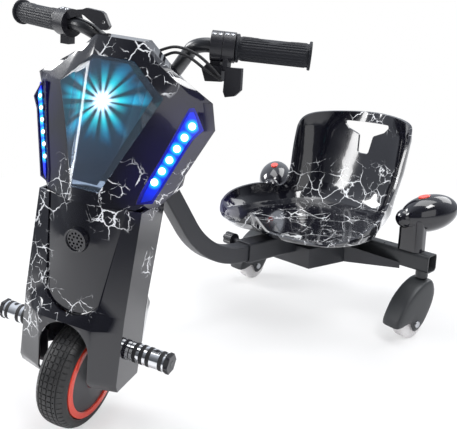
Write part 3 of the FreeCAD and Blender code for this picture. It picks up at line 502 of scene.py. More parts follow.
# %% [markdown]
# ## Star light
# One cool white lamp sits behind the lens, and the flutes of the reflector stretch its light into a star. A
# real lamp with modelled flutes would be slow and noisy to render. So the star is drawn on the reflector as
# light of its own: the angle gives thirteen rays, and the distance lets them fade from white over cyan to
# blue.

# %% Star light
RAYS = 13
star_light = new_material("star_light", (0.03, 0.045, 0.06), 0.25)
star_point = object_point(star_light)
split = node(star_light, "ShaderNodeSeparateXYZ")
link(star_light, star_point, split.inputs[0])
angle = calculate(star_light, "ARCTAN2", split.outputs["Y"], split.outputs["X"])
length = node(star_light, "ShaderNodeVectorMath", operation="LENGTH")
link(star_light, star_point, length.inputs[0])
distance = length.outputs["Value"]
uneven = node(star_light, "ShaderNodeTexNoise", noise_dimensions="1D", Scale=1.6, Detail=1.0)
link(star_light, angle, uneven.inputs["W"])
bent = calculate(star_light, "ADD", angle, calculate(star_light, "MULTIPLY", uneven.outputs["Fac"], 0.5))
wave = calculate(star_light, "COSINE", calculate(star_light, "MULTIPLY", bent, RAYS / 2))
wave = calculate(star_light, "ABSOLUTE", wave)
reach = remap(star_light, uneven.outputs["Fac"], 0.35, 0.65, 0.050, 0.088)
fade = calculate(star_light, "SUBTRACT", 1.0, calculate(star_light, "DIVIDE", distance, reach))
fade = calculate(star_light, "POWER", calculate(star_light, "MAXIMUM", fade, 0.0), 1.4)
edge = remap(star_light, wave, 0.35, 0.95)
rays = calculate(star_light, "MULTIPLY", edge, fade)
core = remap(star_light, distance, 0.003, 0.017, 1.0, 0.0)
halo = remap(star_light, distance, 0.0, 0.1, 0.22, 0.02)
ramp = node(star_light, "ShaderNodeValToRGB")
link(star_light, calculate(star_light, "DIVIDE", distance, 0.10), ramp.inputs["Fac"])
stops = [(0.0, (1, 1, 1)), (0.16, (0.75, 1, 1)), (0.3, (0.02, 0.9, 0.8)), (0.5, (0.0, 0.5, 0.7)),
         (1.0, (0.0, 0.16, 0.5))]
for index, (place_on_ramp, colour) in enumerate(stops):
    element = ramp.color_ramp.elements[index] if index < 2 else ramp.color_ramp.elements.new(place_on_ramp)
    element.position = place_on_ramp
    element.color = (*colour, 1)
strength = calculate(star_light, "ADD", calculate(star_light, "MULTIPLY", rays, 5.5),
                     calculate(star_light, "MULTIPLY", core, 8.0))
strength = calculate(star_light, "ADD", strength, halo)
link(star_light, ramp.outputs["Color"], shader_of(star_light).inputs["Emission Color"])
link(star_light, strength, shader_of(star_light).inputs["Emission Strength"])
print("star light nodes", len(star_light.node_tree.nodes))

# %% [markdown]
# ## Reflector
# The reflector is a thin plate of the lens's outline, parallel to the lens and behind it. It is made flat
# round its own origin and then put in place, because the star is drawn from that origin.

# %% Reflector
REFLECTOR_THICKNESS = 1.5
lens_slope = steer_vector(0, 65.4, 187.3)
star_frame = axes_at(steer(-6, 47.5, 537), steer_vector(1, 0, 0), lens_slope.cross(steer_vector(-1, 0, 0)))
plate_outline = [(-30, 60), (30, 60), (80, 18), (22, -124), (-22, -124), (-80, 18)]
reflector = prism("star_reflector", plate_outline, Matrix.Identity(4), REFLECTOR_THICKNESS, star_light,
                  "fork", 0.4)
reflector.matrix_world = star_frame
softened("star_lamp", moulded_black, 0.8)
print("star at", [round(c, 3) for c in star_frame.translation])

# %% [markdown]
# ## Where the lamps sit
# Two slanted trays are let into the head's flanks, each with six round lamps in a straight row. All of it
# lies on one slanted plane, so a point needs only its x and z, and the plane gives its y.

# %% Where the lamps sit
LED_OUT = Vector((0.368, -0.902, 0.224))
LED_PLANE = 104.1
FIRST_LAMP = (133.0, 520.7)
LAMP_STEP = (7.3, 16.86)
LAMP_EDGE = 4.0
LAMP_SEAT, STRIP_SEAT = 1.4, 0.6
led_row = [(FIRST_LAMP[0] - LAMP_STEP[0] * i, FIRST_LAMP[1] - LAMP_STEP[1] * i) for i in range(6)]


def on_led_face(x, z, out=0.0):
    y = (LED_PLANE - LED_OUT.x * x - LED_OUT.z * z) / LED_OUT.y
    return Vector((x, y, z)) + LED_OUT * out


def on_line(z):
    """Outer edge of the row of lamps at a height, where the strip on the rider's right is narrowest."""
    return FIRST_LAMP[0] - LAMP_STEP[0] * (FIRST_LAMP[1] - z) / LAMP_STEP[1] + LAMP_EDGE


# x and z of the glowing strip, a few millimetres inside the frame
glow_outline = [(131.6, 541), (136, 533), (143, 516), (132, 500), (97.5, 410), (83, 405), (86, 420),
                (103.5, 470), (126, 540)]
print("lamps in a row", len(led_row))

# %% [markdown]
# ## Tray frame
# The tray's frame is the same gloss plastic as the head, with the light that falls on it painted in: a navy
# colour, and a navy shine of its own round the lamps. Soft spheres round the lamps say where that painted
# shine lies.

# %% Tray frame
frame_navy = new_material("frame_navy", (0.008, 0.006, 0.06), 0.12, coat=0.6)
frame_point = object_point(frame_navy)
add_haze(frame_navy)
row_points = [on_led_face(x, z, LAMP_SEAT) for x, z in led_row]
# Painted light: the frame shines navy round each lamp.
painted_spill = patches(frame_navy, frame_point, [(steer(p.x, p.y, p.z), 0.045) for p in row_points], 0.1)
shader_of(frame_navy).inputs["Emission Color"].default_value = (0.0, 0.01, 0.6, 1)
painted_spill = calculate(frame_navy, "MULTIPLY", painted_spill, 0.8)
link(frame_navy, painted_spill, shader_of(frame_navy).inputs["Emission Strength"])
print("light spills round", len(row_points), "lamps")

# %% [markdown]
# ## Glowing strips and lamps
# In each tray lies a blue translucent strip that glows brightest along the lamps, with a lighter halo round
# each. The lamps themselves are small white domes. On the rider's right the strip and the domes are
# narrower than in the CAD. That imitates the photo, which shows only a sliver of them, and is no real
# difference between the sides.

# %% Glowing strips and lamps
STRIP_THICKNESS = 1.2
RIGHT_NARROWING, RIGHT_DOME_SIZE = 0.55, 0.62
dome_profile = [(0.0, 5.6), (0.9, 5.3), (1.7, 4.4), (2.3, 3.0), (2.6, 1.4), (2.65, 0.05)]
for side, suffix in ((1, "left"), (-1, "right")):
    centres = [steer(side * p.x, p.y, p.z) for p in row_points]
    softened("led_strip_" + suffix, frame_navy, 0.6)
    tray_light = new_material("tray_light_" + suffix, (0.005, 0.02, 0.5), 0.2, coat=0.5)
    tray_point = object_point(tray_light)
    rings = patches(tray_light, tray_point, [(centre, 0.0115) for centre in centres], 0.4)
    middle_band = patches(tray_light, tray_point, [(centre, 0.028) for centre in centres], 0.2)
    colour = blend_colours(tray_light, rings, (0.0, 0.02, 0.95), (0.0, 0.55, 1.0))
    link(tray_light, colour, shader_of(tray_light).inputs["Emission Color"])
    level = calculate(tray_light, "ADD", remap(tray_light, middle_band, 0.0, 1.0, 0.12, 1.0), rings)
    link(tray_light, level, shader_of(tray_light).inputs["Emission Strength"])
    outline = [on_led_face(x, z, STRIP_SEAT) for x, z in glow_outline]
    if side < 0:
        narrowed = [(p.x + RIGHT_NARROWING * (on_line(p.z) - p.x), p.z) for p in outline]
        outline = [on_led_face(x, z, STRIP_SEAT) for x, z in narrowed]
    lower = [steer(side * p.x, p.y, p.z) for p in outline]
    raised = [steer(side * q.x, q.y, q.z) for q in (p + LED_OUT * STRIP_THICKNESS for p in outline)]
    count = len(outline)
    sides = [(i, (i + 1) % count, count + (i + 1) % count, count + i) for i in range(count)]
    lids = [tuple(range(count))[::-1], tuple(range(count, 2 * count))]
    round_edges(add_piece("glow_strip_" + suffix, lower + raised, sides + lids, tray_light, "fork"), 0.4)
    lamp_white = new_material("lamp_white_" + suffix, (0.9, 0.98, 1.0), 0.2)
    lamp_point = object_point(lamp_white)
    hot = patches(lamp_white, lamp_point, [(centre, 0.0075) for centre in centres], 0.6)
    link(lamp_white, blend_colours(lamp_white, hot, (0.1, 0.8, 1.0), (1.0, 1.0, 1.0)),
         shader_of(lamp_white).inputs["Emission Color"])
    shader_of(lamp_white).inputs["Emission Strength"].default_value = 1.8
    outward = steer_vector(side * LED_OUT.x, LED_OUT.y, LED_OUT.z)
    size = 1.0 if side > 0 else RIGHT_DOME_SIZE
    dome = [(along, radius * size) for along, radius in dome_profile]
    for index, centre in enumerate(centres):
        dome_axes = axes_at(centre, outward, Vector((0, 0, 1)))
        revolved("lamp_%s_%d" % (suffix, index + 1), dome, dome_axes, lamp_white, "fork", 24, closed=False)
print("lamps", 2 * len(led_row))

# %% [markdown]
# ## Tyre
# The tyre is one grid wrapped round the axle. Every ring of the grid is a cross-section, and the table of
# columns says how far each point lies from the middle, how much lower than the crown it is, and whether a
# groove runs along or across there. Short cross grooves over the long ones give the small plus signs of the
# real tread.

# %% Tyre
GROOVE_DEPTH = 1.5
wheel = turn @ Matrix.Translation(Vector((0, 0, WHEEL_RADIUS)) * MM)
# distance from the middle, drop below the crown, long groove, cross groove
tread_half = [
    (0.0, 0.0, 1, 1), (0.9, 0.0, 1, 1), (1.5, 0.02, 0, 1), (4.2, 0.08, 0, 1), (4.8, 0.1, 0, 0),
    (5.4, 0.14, 0, 1), (7.8, 0.3, 0, 1), (8.4, 0.35, 1, 1), (9.8, 0.5, 1, 1), (10.4, 0.57, 0, 1),
    (12.8, 0.9, 0, 1), (13.4, 1.0, 0, 0), (14.6, 1.25, 0, 0), (15.2, 1.4, 1, 0), (16.2, 1.7, 1, 0),
    (16.8, 1.9, 0, 0), (17.6, 2.2, 0, 1), (21.0, 4.0, 0, 1), (23.6, 6.6, 0, 1), (24.4, 7.8, 0, 0),
    (25.8, 10.6, 0, 0), (26.8, 13.6, 0, 0), (27.0, 15.4, 0, 0), (26.6, 18.2, 0, 0), (25.2, 19.6, 0, 0),
    (23.6, 20.3, 0, 0)]
columns = [(-x, drop, along, across) for x, drop, along, across in reversed(tread_half[1:])] + tread_half
PITCHES = 56
# place within one pitch of the tread, and whether a cross groove lies there
steps = [(0.0, 1), (0.12, 1), (0.19, 0), (0.56, 0), (0.93, 0)]
tyre_points, tyre_faces = [], []
for pitch in range(PITCHES):
    for along_pitch, grooved in steps:
        angle_here = 2 * math.pi * (pitch + along_pitch) / PITCHES
        for x, drop, along, across in columns:
            depth = GROOVE_DEPTH if along or (across and grooved) else 0.0
            radius = WHEEL_RADIUS - drop - depth
            point = Vector((x, radius * math.cos(angle_here), radius * math.sin(angle_here)))
            tyre_points.append(wheel @ (point * MM))
rings_made = PITCHES * len(steps)
width_of_ring = len(columns)
for i in range(rings_made):
    following = (i + 1) % rings_made
    for j in range(width_of_ring - 1):
        tyre_faces.append((i * width_of_ring + j, following * width_of_ring + j,
                           following * width_of_ring + j + 1, i * width_of_ring + j + 1))
tyre = add_piece("tyre_tread", tyre_points, tyre_faces, tyre_rubber, "front_wheel", 40.0)
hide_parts("tyre")
print("tyre faces", len(tyre_faces))

# %% [markdown]
# ## Rim, hub and fork
# The rim is a ring with a red lip on each side, and the hub motor fills it with two shallow covers. Both
# are round, so a profile turned round the axle gives their form. The fork keeps its CAD shape.

# %% Rim, hub and fork
rim_profile = [(-22.0, 61.0), (-27.4, 61.0), (-28.1, 61.7), (-28.2, 64.0), (-28.2, 69.4), (-27.9, 71.0),
               (-26.8, 71.8), (-23.0, 71.8), (-21.5, 70.4), (21.5, 70.4), (23.0, 71.8), (26.8, 71.8),
               (27.9, 71.0), (28.2, 69.4), (28.2, 64.0), (28.1, 61.7), (27.4, 61.0), (22.0, 61.0)]
rim = revolved("rim_red", rim_profile, wheel, ring_red, "front_wheel", 128)
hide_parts("rim")
cover_half = [(27.0, 6.1), (27.0, 19.0), (26.9, 21.0), (26.2, 24.0), (25.9, 26.0), (25.4, 45.0), (24.6, 59.0),
              (24.4, 60.9)]
cover_profile = [(-along, radius) for along, radius in reversed(cover_half)] + cover_half
hub = revolved("hub_covers", cover_profile, wheel, cover_grey, "front_wheel", 128)
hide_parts("hub_motor")
softened("wheel_axle", plated_steel, 0.6)
softened("kingpin", plated_steel, 0.8)
softened("fork_frame", powder_black, 1.0)
print("rim faces", len(rim.data.polygons), "and hub faces", len(hub.data.polygons))

# %% [markdown]
# ## Foot pegs
# The pegs are chrome with rubber rings in their grooves, and a black hexagon closes each end. The core is
# round, so it is a turned profile, and the hexagon is an outline with a thickness. A toothed plug stands
# 0.4 mm out of the hexagon's middle and reads as the socket there.

# %% Foot pegs
PEG_START, PEG_END = 91.3, 161.0
PEG_Y, PEG_Z = 7.2, 158.2
PEG_RADIUS, GROOVE_FLOOR, BORE_RADIUS = 15.5, 12.6, 4.6
RING_WIDTH = 6
CORE_LENGTH, HEXAGON_AT, HEXAGON_RADIUS = 63.0, 62.5, 17.4
groove_starts = [6, 18, 30, 52, 62]
for side, suffix in ((1, "left"), (-1, "right")):
    axis = axes_at(steer(side * PEG_START, PEG_Y, PEG_Z), steer_vector(side, 0, 0), steer_vector(0, 0, 1))
    profile = [(0.0, BORE_RADIUS), (0.0, 15.0), (0.5, PEG_RADIUS)]
    for begin in groove_starts:
        profile += [(begin - 0.5, PEG_RADIUS), (begin, 15.0), (begin, GROOVE_FLOOR)]
        if begin != groove_starts[-1]:
            finish = begin + RING_WIDTH
            profile += [(finish, GROOVE_FLOOR), (finish, 15.0), (finish + 0.5, PEG_RADIUS)]
    profile += [(CORE_LENGTH, GROOVE_FLOOR), (CORE_LENGTH, BORE_RADIUS)]
    core_piece = revolved("peg_core_" + suffix, profile, axis, chrome, "fork", 72)
    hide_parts("peg_" + suffix)
    hole_at = steer(side * (PEG_START + 44), PEG_Y, PEG_Z + 15.4)
    hole_profile = [(0.2, 0.1), (0.2, 3.6), (-0.4, 4.2), (-0.6, 0.1)]
    top = axes_at(hole_at, steer_vector(0, 0, 1), steer_vector(side, 0, 0))
    revolved("peg_hole_" + suffix, hole_profile, top, moulded_black, "fork", 32)
    end_at = steer(side * (PEG_START + HEXAGON_AT), PEG_Y, PEG_Z)
    end = axes_at(end_at, steer_vector(0, 1, 0), steer_vector(side, 0, 0))
    corners = [math.radians(60 * i) for i in range(6)]
    hexagon = [(HEXAGON_RADIUS * math.cos(corner), HEXAGON_RADIUS * math.sin(corner)) for corner in corners]
    hexagon_depth = PEG_END - PEG_START - HEXAGON_AT
    prism("peg_hexagon_" + suffix, hexagon, end, hexagon_depth, moulded_black, "fork", 1.0)
    star = []
    for i in range(16):
        radius = 6.4 if i % 2 else 4.4
        star.append((radius * math.cos(math.pi * i / 8), radius * math.sin(math.pi * i / 8)))
    prism("peg_socket_" + suffix, star, end, hexagon_depth + 0.4, satin_black, "fork", 0.3)
softened("peg_rubbers", rubber_black, 0.4)
print("grooves on a peg", len(groove_starts))

# %% [markdown]
# ## Handlebar and controls
# The bar is satin black tube. Clamp, throttle, switch collar and brake lever keep their CAD shape with
# rounded edges, because they are plain castings and mouldings. The cables stay CAD solids and get the
# rubber finish.

# %% Handlebar and controls
softened("handlebar", satin_black, 0.6)
softened("bar_clamp", powder_black, 1.0)
softened("throttle_lever", moulded_black, 1.2, 3)
softened("switch_collar", moulded_black, 1.0, 3)
softened("brake_lever", moulded_black, 1.2, 3)
nodes["cables"].data.materials.clear()
nodes["cables"].data.materials.append(rubber_black)
print("cable faces", len(nodes["cables"].data.polygons))

# %% [markdown]
# ## Grips
# Each grip is a rubber sleeve with ribs along it that fade out in a smooth leaf on top. Cutting the ribs
# one by one would leave hard ends. So the surface is a grid whose radius changes with the angle, and the
# ribs grow out of it.

# %% Grips
RIB_HEIGHT = 0.8
grip_grey = new_material("grip_grey", (0.011, 0.012, 0.016), 0.46, ior=1.3)
add_grain(grip_grey, 1500.0, 0.2, 0.0002)
GRIP_INNER, GRIP_OUTER = Vector((155.4, 152.6, 629.9)), Vector((262.8, 184.8, 631.1))
grip_length = (GRIP_OUTER - GRIP_INNER).length
# distance from the inner end, radius, strength of the ribs
grip_rings = [(0.0, 11.2, 0), (0.0, 20.4, 0), (0.6, 21.0, 0), (3.4, 21.0, 0), (4.2, 20.2, 0), (4.6, 17.2, 0),
              (7.0, 17.2, 0), (8.5, 17.2, 1)]
grip_rings += [(8.5 + (grip_length - 17.0) * k / 30, 17.2, 1) for k in range(1, 30)]
grip_rings += [(grip_length - 8.5, 17.2, 1), (grip_length - 7.0, 17.2, 0), (grip_length - 4.6, 17.2, 0),
               (grip_length - 4.2, 20.2, 0), (grip_length - 3.4, 21.0, 0), (grip_length - 0.6, 21.0, 0),
               (grip_length, 20.4, 0), (grip_length, 12.0, 0), (grip_length - 0.8, 9.0, 0),
               (grip_length - 0.8, 0.1, 0)]
RIBS, STEPS_PER_RIB = 28, 6
for side, suffix in ((1, "left"), (-1, "right")):
    start = steer(side * GRIP_INNER.x, GRIP_INNER.y, GRIP_INNER.z)
    finish = steer(side * GRIP_OUTER.x, GRIP_OUTER.y, GRIP_OUTER.z)
    local = axes_at(start, finish - start, Vector((0, 0, 1)))
    count = RIBS * STEPS_PER_RIB
    vertices, faces = [], []
    for along, radius, ribbed in grip_rings:
        for i in range(count):
            angle_here = 2 * math.pi * i / count
            from_top = abs((angle_here - math.pi / 2 + math.pi) % (2 * math.pi) - math.pi)
            leaf = from_top / 0.9 + abs(along - grip_length / 2) / 34.0
            crest = max(0.0, math.cos(RIBS * angle_here)) ** 0.7
            rib = RIB_HEIGHT * ribbed * crest * min(1.0, max(0.0, leaf - 0.85) * 8)
            vertices.append(local @ (Vector((along, (radius + rib) * math.cos(angle_here),
                                             (radius + rib) * math.sin(angle_here))) * MM))
    for r in range(len(grip_rings) - 1):
        for i in range(count):
            k = (i + 1) % count
            faces.append((r * count + i, r * count + k, (r + 1) * count + k, (r + 1) * count + i))
    sleeve = add_piece("grip_sleeve_" + suffix, vertices, faces, grip_grey, "fork", 50.0)
    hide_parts("grip_" + suffix)
print("grip faces", len(faces))

# %% [markdown]
# ## Clamp screws
# Small pan-head screws hold the clamps of the controls. They stand on the clamps' round faces, square to
# the bar, so each place is found from the grip's line, a distance along it and an angle round it.

# %% Clamp screws
CLAMP_RADIUS = 22.2
pan_head = [(0.0, 2.9), (0.8, 2.8), (1.4, 2.2), (1.6, 1.2), (0.9, 1.0), (0.9, 0.05)]
out = (GRIP_OUTER - GRIP_INNER).normalized()
# side, distance from the grip, angle round the bar
screw_places = [(1, 6, 150), (1, 14, 150), (1, 24, 145), (1, 33, 145), (-1, 8, 160), (-1, 20, 160)]
for number, (side, inboard, swing) in enumerate(screw_places):
    centre = GRIP_INNER - out * inboard
    across = Vector((0, -math.sin(math.radians(swing)), -math.cos(math.radians(swing))))
    across = (across - out * across.dot(out)).normalized()
    seat_point = centre + across * CLAMP_RADIUS
    facing = steer_vector(side * across.x, across.y, across.z)
    revolved("clamp_screw_%d" % (number + 1), pan_head,
             axes_at(steer(side * seat_point.x, seat_point.y, seat_point.z), facing, Vector((0.1, 0.2, 1))),
             plated_steel, "fork", 20, closed=False)
print("clamp screws", len(screw_places))

# %% [markdown]
# ## Frame
# Bent tube, sleeve, seat box and cross tube are welded steel under black powder coat, and their edges are
# rounded by 0.6 to 1.6 mm. The cross tube has the finish of the caster fenders.

# %% Frame
edge_widths = {"bent_tube": 0.6, "head_tube": 0.8, "main_sleeve": 1.0, "seat_box": 1.6, "seat_mount": 0.8}
for name, width in edge_widths.items():
    softened(name, powder_black, width)
softened("cross_tube", hood_black, 0.8)
print("welded pieces", len(edge_widths) + 1)

# %% [markdown]
# ## Gussets
# A gusset fills each corner between seat box and cross tube. The CAD has it as a flat plate. Here it is
# folded sheet, a flat triangle with an upright flange along its slanted edge, which stands well above the
# plate. It has twelve points in all, so writing out its faces is shorter than folding a sheet.

# %% Gussets
GUSSET_NEAR, GUSSET_FAR, GUSSET_FRONT, GUSSET_REAR = 84.3, 190.8, 632.0, 685.7
PLATE_LOW, PLATE_TOP, FLANGE_TOP_NEAR, FLANGE_TOP_FAR = 138.6, 144.0, 176.0, 152.0
FLANGE_NEAR_DEPTH, FLANGE_FAR_DEPTH = 4, 8
for side, suffix in ((1, "left"), (-1, "right")):
    near = side * GUSSET_NEAR
    corners = [(near, GUSSET_FRONT), (side * GUSSET_FAR, GUSSET_REAR), (near, GUSSET_REAR)]
    inner = [(near, GUSSET_FRONT + FLANGE_NEAR_DEPTH), (side * (GUSSET_FAR - FLANGE_FAR_DEPTH), GUSSET_REAR)]
    points = [place(x, y, z) for z in (PLATE_LOW, PLATE_TOP) for x, y in corners]
    points += [place(x, y, PLATE_TOP) for x, y in inner]
    for near_point, far_point in (corners[:2], inner):
        points += [place(*near_point, FLANGE_TOP_NEAR), place(*far_point, FLANGE_TOP_FAR)]
    faces = [(0, 2, 1), (0, 1, 4, 3), (1, 2, 5, 7, 4), (0, 3, 6, 5, 2), (6, 7, 5), (3, 4, 9, 8),
             (8, 9, 11, 10), (6, 10, 11, 7), (3, 8, 10, 6), (4, 7, 11, 9)]
    gusset = add_piece("gusset_fold_" + suffix, points, faces, powder_black, "rear_frame")
    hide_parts("gusset_plates")
softened("clamp_knob", moulded_black, 0.9, 3)
print("gusset points", len(points))

# %% [markdown]
# ## Seat
# The bucket seat is one thin gloss shell. Its rim is rounded over the whole thickness of the wall, which
# draws the bright line along its edge. The crack film covers the floor, the lower back and the top of the
# rim, and leaves the middle of the back plain.

# %% Seat
seat_spots = [(place(x, y, z), radius * MM) for x, y, z, radius in [
    (-70, 735, 275, 78), (10, 770, 275, 70), (80, 755, 290, 66), (-130, 690, 300, 50), (145, 705, 300, 56),
    (-5, 822, 436, 50), (70, 812, 436, 46), (60, 620, 225, 110), (-60, 600, 222, 90), (100, 480, 228, 84),
    (-80, 450, 240, 62), (0, 440, 262, 48), (175, 560, 240, 60), (150, 770, 420, 26)]]
# Painted light: a navy tint low at the front of the seat stands for blue lamp light falling there.
seat_painted_glow = [(place(-175, 500, 240), 0.07)]
seat_film = cracked_gloss("seat_film", seat_spots, scale=21.0, width=0.02, glow=seat_painted_glow)
softened("seat_shell", seat_film, 2.2, 3, 50.0)
print("crack spots on the seat", len(seat_spots))

# %% [markdown]
# ## Pods and rollers
# The pods are gloss black eggs with a ball at the front end and a red oval lamp on top, whose rim is a thin
# black ring. The casters' rollers are pale nylon on a plated bolt. All keep their CAD shape.

# %% Pods and rollers
for name in ("pod_body_left", "pod_body_right", "pod_post_left", "pod_post_right", "pod_noses"):
    softened(name, gloss_black, 0.6)
softened("pod_lamps", lamp_red, 1.2, 3)
for suffix in ("left", "right"):
    softened("caster_wheel_" + suffix, roller_white, 1.2, 3)
    softened("caster_bolt_" + suffix, plated_steel, 0.8)

# %% [markdown]
# ## Outline of the caster fenders
# The fender is a swollen form: seen from the side it has nearly the CAD outline, and its width grows
# quickly from the outline inwards and then slowly. A table says how far in each ring lies and how wide it
# is.

# %% Outline of the caster fenders
CASTER_X = 234.6
CHEEK_INSIDE = 20
fender_outline = [(-4, 127.5), (-12, 124.5), (-18, 116), (-22, 104), (-22.5, 93), (-20, 80), (-15, 67),
                  (-8, 53), (0, 40), (8, 29), (16, 22), (25, 17), (33, 15.4), (40, 19), (45, 29), (48, 38),
                  (55, 42), (66, 39), (80, 36.5), (91, 37.5), (90.5, 46), (87, 55), (81, 66), (74, 78),
                  (66, 89), (56, 99), (45, 108), (34, 115.5), (22, 121.5), (10, 126)]
fender_room = [(-60, 86), (-10, 92), (0, 106), (16, 110), (32, 107), (46, 98.5), (59, 87), (69, 75), (77, 60),
               (82, 49), (86, 30), (86, -30), (-60, -30)]
fender_middle = Vector((28.0, 74.0))
# share of the way from the outline to the middle, and half the width there
swelling = [(0.0, 12.0), (0.015, 17.0), (0.035, 20.4), (0.08, 22.2), (0.18, 23.3), (0.35, 23.8), (0.7, 24.0)]


def caster_frame(side, heading):
    """Matrix with X along the trail, Y across and Z up, at the stem on the floor."""
    turned = Matrix.Rotation(math.radians(heading), 4, "Z")
    return Matrix.Translation(place(side * CASTER_X, CROSS_Y, 0) - Vector((0, 0, place(0, 0, 0).z))) @ turned


print("fender rings", 2 * len(swelling), "of", len(fender_outline), "points")

# %% [markdown]
# ## Two solids for each fender
# The swollen body is made as rings, each the outline moved inwards and widened. The room for the roller is
# a plain block with a rounded top. Both are closed meshes with their faces turned outwards, which a boolean
# needs.

# %% Two solids for each fender


def fender_mesh(name, matrix):
    rings = [(share, -width) for share, width in swelling[::-1]] + list(swelling)
    count = len(fender_outline)
    vertices, faces = [], []
    for share, y in rings:
        for x, z in fender_outline:
            flat = Vector((x, z)).lerp(fender_middle, share)
            vertices.append(matrix @ (Vector((flat.x, y, flat.y)) * MM))
    for r in range(len(rings) - 1):
        for i in range(count):
            k = (i + 1) % count
            faces.append((r * count + i, r * count + k, (r + 1) * count + k, (r + 1) * count + i))
    faces += [tuple(range(count))[::-1], tuple(range((len(rings) - 1) * count, len(rings) * count))]
    return outward_mesh(name, vertices, faces)


def room_mesh(name, matrix):
    count = len(fender_room)
    corners = [(x, y, z) for y in (-CHEEK_INSIDE, CHEEK_INSIDE) for x, z in fender_room]
    vertices = [matrix @ (Vector(corner) * MM) for corner in corners]
    faces = [tuple(range(count)), tuple(range(count, 2 * count))[::-1]]
    faces += [(i, count + i, count + (i + 1) % count, (i + 1) % count) for i in range(count)]
    return outward_mesh(name, vertices, faces)


def outward_mesh(name, vertices, faces):
    """Closed mesh with all its faces turned outwards."""
    mesh = bpy.data.meshes.new(name)
    mesh.from_pydata([tuple(v) for v in vertices], [], faces)
    work = bmesh.new()
    work.from_mesh(mesh)
    bmesh.ops.recalc_face_normals(work, faces=work.faces)
    work.to_mesh(mesh)
    work.free()
    return mesh


print("room for the roller is", 2 * CHEEK_INSIDE, "mm wide")

# %% [markdown]
# ## Caster fenders
# A boolean takes the room out of the swollen body, so the fender stays open behind and below. Modelling the
# two cheeks by hand would leave a seam where they meet the top. The stem is a plain turned bar.

# %% Caster fenders
STEM_RADIUS, STEM_LENGTH, STEM_BOTTOM = 6.0, 51.5, 118
stem_profile = [(0, 0.1), (0, STEM_RADIUS), (STEM_LENGTH, STEM_RADIUS), (STEM_LENGTH, 0.1)]
for side, suffix, heading in ((1, "left", 262.0), (-1, "right", 268.5)):
    stem = caster_frame(side, heading)
    solid = bpy.data.objects.new("fender_solid", fender_mesh("fender_solid", stem))
    collection.objects.link(solid)
    room = bpy.data.objects.new("fender_room", room_mesh("fender_room", stem))
    collection.objects.link(room)
    cut = solid.modifiers.new("room", "BOOLEAN")
    cut.object = room
    cut.operation = "DIFFERENCE"
    cut.solver = "EXACT"
    shape = bpy.data.meshes.new_from_object(solid.evaluated_get(bpy.context.evaluated_depsgraph_get()))
    bpy.data.objects.remove(solid)
    bpy.data.objects.remove(room)
    vertices, faces = [v.co for v in shape.vertices], [tuple(f.vertices) for f in shape.polygons]
    fender = add_piece("fender_" + suffix, vertices, faces, hood_black, "caster_" + suffix, 42.0)
    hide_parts("caster_hood_" + suffix)
    upward = Matrix.Rotation(math.radians(-90), 4, "Y")
    upright = stem @ Matrix.Translation(Vector((0, 0, STEM_BOTTOM)) * MM) @ upward
    revolved("caster_stem_" + suffix, stem_profile, upright, plated_steel, "caster_" + suffix, 32)
    print("fender", suffix, "faces", len(shape.polygons))

# %% [markdown]
# ## Floor
# A product photo on white: the floor is a large pale plane that takes the shadow. The camera sees it mixed
# with pure white, a little over half near the scooter and wholly from 1.8 m on, so the shadow is faint and
# no horizon shows. A bent paper backdrop would hide the horizon too, but only from one side.

# %% Floor
FLOOR_HALF = 30
floor_mesh = bpy.data.meshes.new("floor")
floor_corners = [(-FLOOR_HALF, -FLOOR_HALF, 0), (FLOOR_HALF, -FLOOR_HALF, 0), (FLOOR_HALF, FLOOR_HALF, 0),
                 (-FLOOR_HALF, FLOOR_HALF, 0)]
floor_mesh.from_pydata(floor_corners, [], [(0, 1, 2, 3)])
floor = bpy.data.objects.new("floor", floor_mesh)
collection.objects.link(floor)
floor_white = new_material("floor_white", (0.85, 0.85, 0.86), 0.6)
floor_distance = node(floor_white, "ShaderNodeVectorMath", operation="LENGTH")
link(floor_white, object_point(floor_white), floor_distance.inputs[0])
far = remap(floor_white, floor_distance.outputs["Value"], 0.5, 1.8, 0.55, 1.0)
camera_ray = node(floor_white, "ShaderNodeLightPath").outputs["Is Camera Ray"]
white_glow = node(floor_white, "ShaderNodeEmission", Strength=1.0)
mixing = node(floor_white, "ShaderNodeMixShader")
link(floor_white, calculate(floor_white, "MULTIPLY", far, camera_ray), mixing.inputs[0])
link(floor_white, shader_of(floor_white).outputs[0], mixing.inputs[1])
link(floor_white, white_glow.outputs[0], mixing.inputs[2])
link(floor_white, mixing.outputs[0], floor_white.node_tree.nodes["Material Output"].inputs["Surface"])
floor_mesh.materials.append(floor_white)
print("floor is", 2 * FLOOR_HALF, "m wide")

# %% [markdown]
# ## World
# The world is white to the camera and through glass. Shiny surfaces see it white overhead and greyer
# towards the horizon, and dark on the side where the photographer stood, as in a studio that is lit from
# the other sides. To rough surfaces it is only a weak light. Both see it slightly blue.

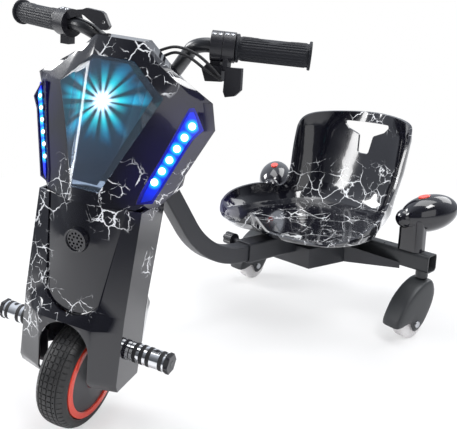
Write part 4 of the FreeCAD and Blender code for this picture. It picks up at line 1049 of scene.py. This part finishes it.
# %% World
DARK_SIDE = (0.69, -0.70, 0.15)
ROOM_TINT = (0.86, 0.91, 1.0)
world = bpy.data.worlds.new("studio")
bpy.context.scene.world = world
world.use_nodes = True
background = world.node_tree.nodes["Background"]
paths = node(world, "ShaderNodeLightPath").outputs
direction = node(world, "ShaderNodeTexCoord").outputs["Generated"]
toward = node(world, "ShaderNodeVectorMath", operation="DOT_PRODUCT")
link(world, direction, toward.inputs[0])
toward.inputs[1].default_value = DARK_SIDE
heights = node(world, "ShaderNodeSeparateXYZ")
link(world, direction, heights.inputs[0])
seen = calculate(world, "MAXIMUM", paths["Is Camera Ray"], paths["Is Transmission Ray"])
ceiling = remap(world, heights.outputs["Z"], 0.1, 0.6, 0.6, 1.0)
open_side = remap(world, toward.outputs["Value"], 0.1, 0.7, 1.0, 0.2)
room_light = calculate(world, "MULTIPLY", ceiling, open_side)
studio = calculate(world, "MULTIPLY", paths["Is Glossy Ray"], room_light)
diffuse_share = remap(world, paths["Is Glossy Ray"], 0.0, 1.0, 0.26, 0.0)
shown = calculate(world, "MAXIMUM", seen, calculate(world, "ADD", studio, diffuse_share))
link(world, shown, background.inputs["Strength"])
link(world, blend_colours(world, seen, ROOM_TINT, (1.0, 1.0, 1.0)), background.inputs["Color"])
bpy.context.scene.view_settings.view_transform = "Standard"
print("world nodes", len(world.node_tree.nodes))

# %% [markdown]
# ## Lamps
# Large soft lamps above and behind make the upper facets bright. Smaller ones stand where a surface mirrors
# them in the photo's view: on the shoulder, the left edge of the head, and the middle of the seat's back.
# Soft lamps are area lamps, because the size of a lamp is what makes its shadow and its highlight soft.

# %% Lamps


def soft_lamp(name, position, target, width, height, power):
    data = bpy.data.lights.new(name, "AREA")
    data.shape = "RECTANGLE"
    data.size, data.size_y = width, height
    data.energy = power
    lamp = bpy.data.objects.new(name, data)
    collection.objects.link(lamp)
    lamp.location = position
    aim = Vector(target) - Vector(position)
    lamp.rotation_euler = aim.to_track_quat("-Z", "Y").to_euler()


# name, place, target, width and height in metres, watts
studio_lamps = [("fill", (2.7, -1.35, 1.2), (0, 0, 0.3), 2.2, 2.0, 16),
                ("front_strip", (-1.2, -2.1, 1.25), (0, 0.4, 0.3), 0.4, 1.0, 18),
                ("side", (-2.8, -0.9, 1.9), (0, -0.3, 0.6), 1.2, 1.2, 75),
                ("shoulder", (1.5, -0.25, 2.75), (0.14, -0.24, 0.56), 0.9, 0.7, 30),
                ("top", (0, 0.3, 3.0), (0, 0, 0.2), 2.4, 1.6, 42),
                ("back", (0.6, 2.4, 2.2), (0, 0.1, 0.3), 2.2, 1.4, 40)]
for row in studio_lamps:
    soft_lamp(*row)
print("lamps", len(studio_lamps))
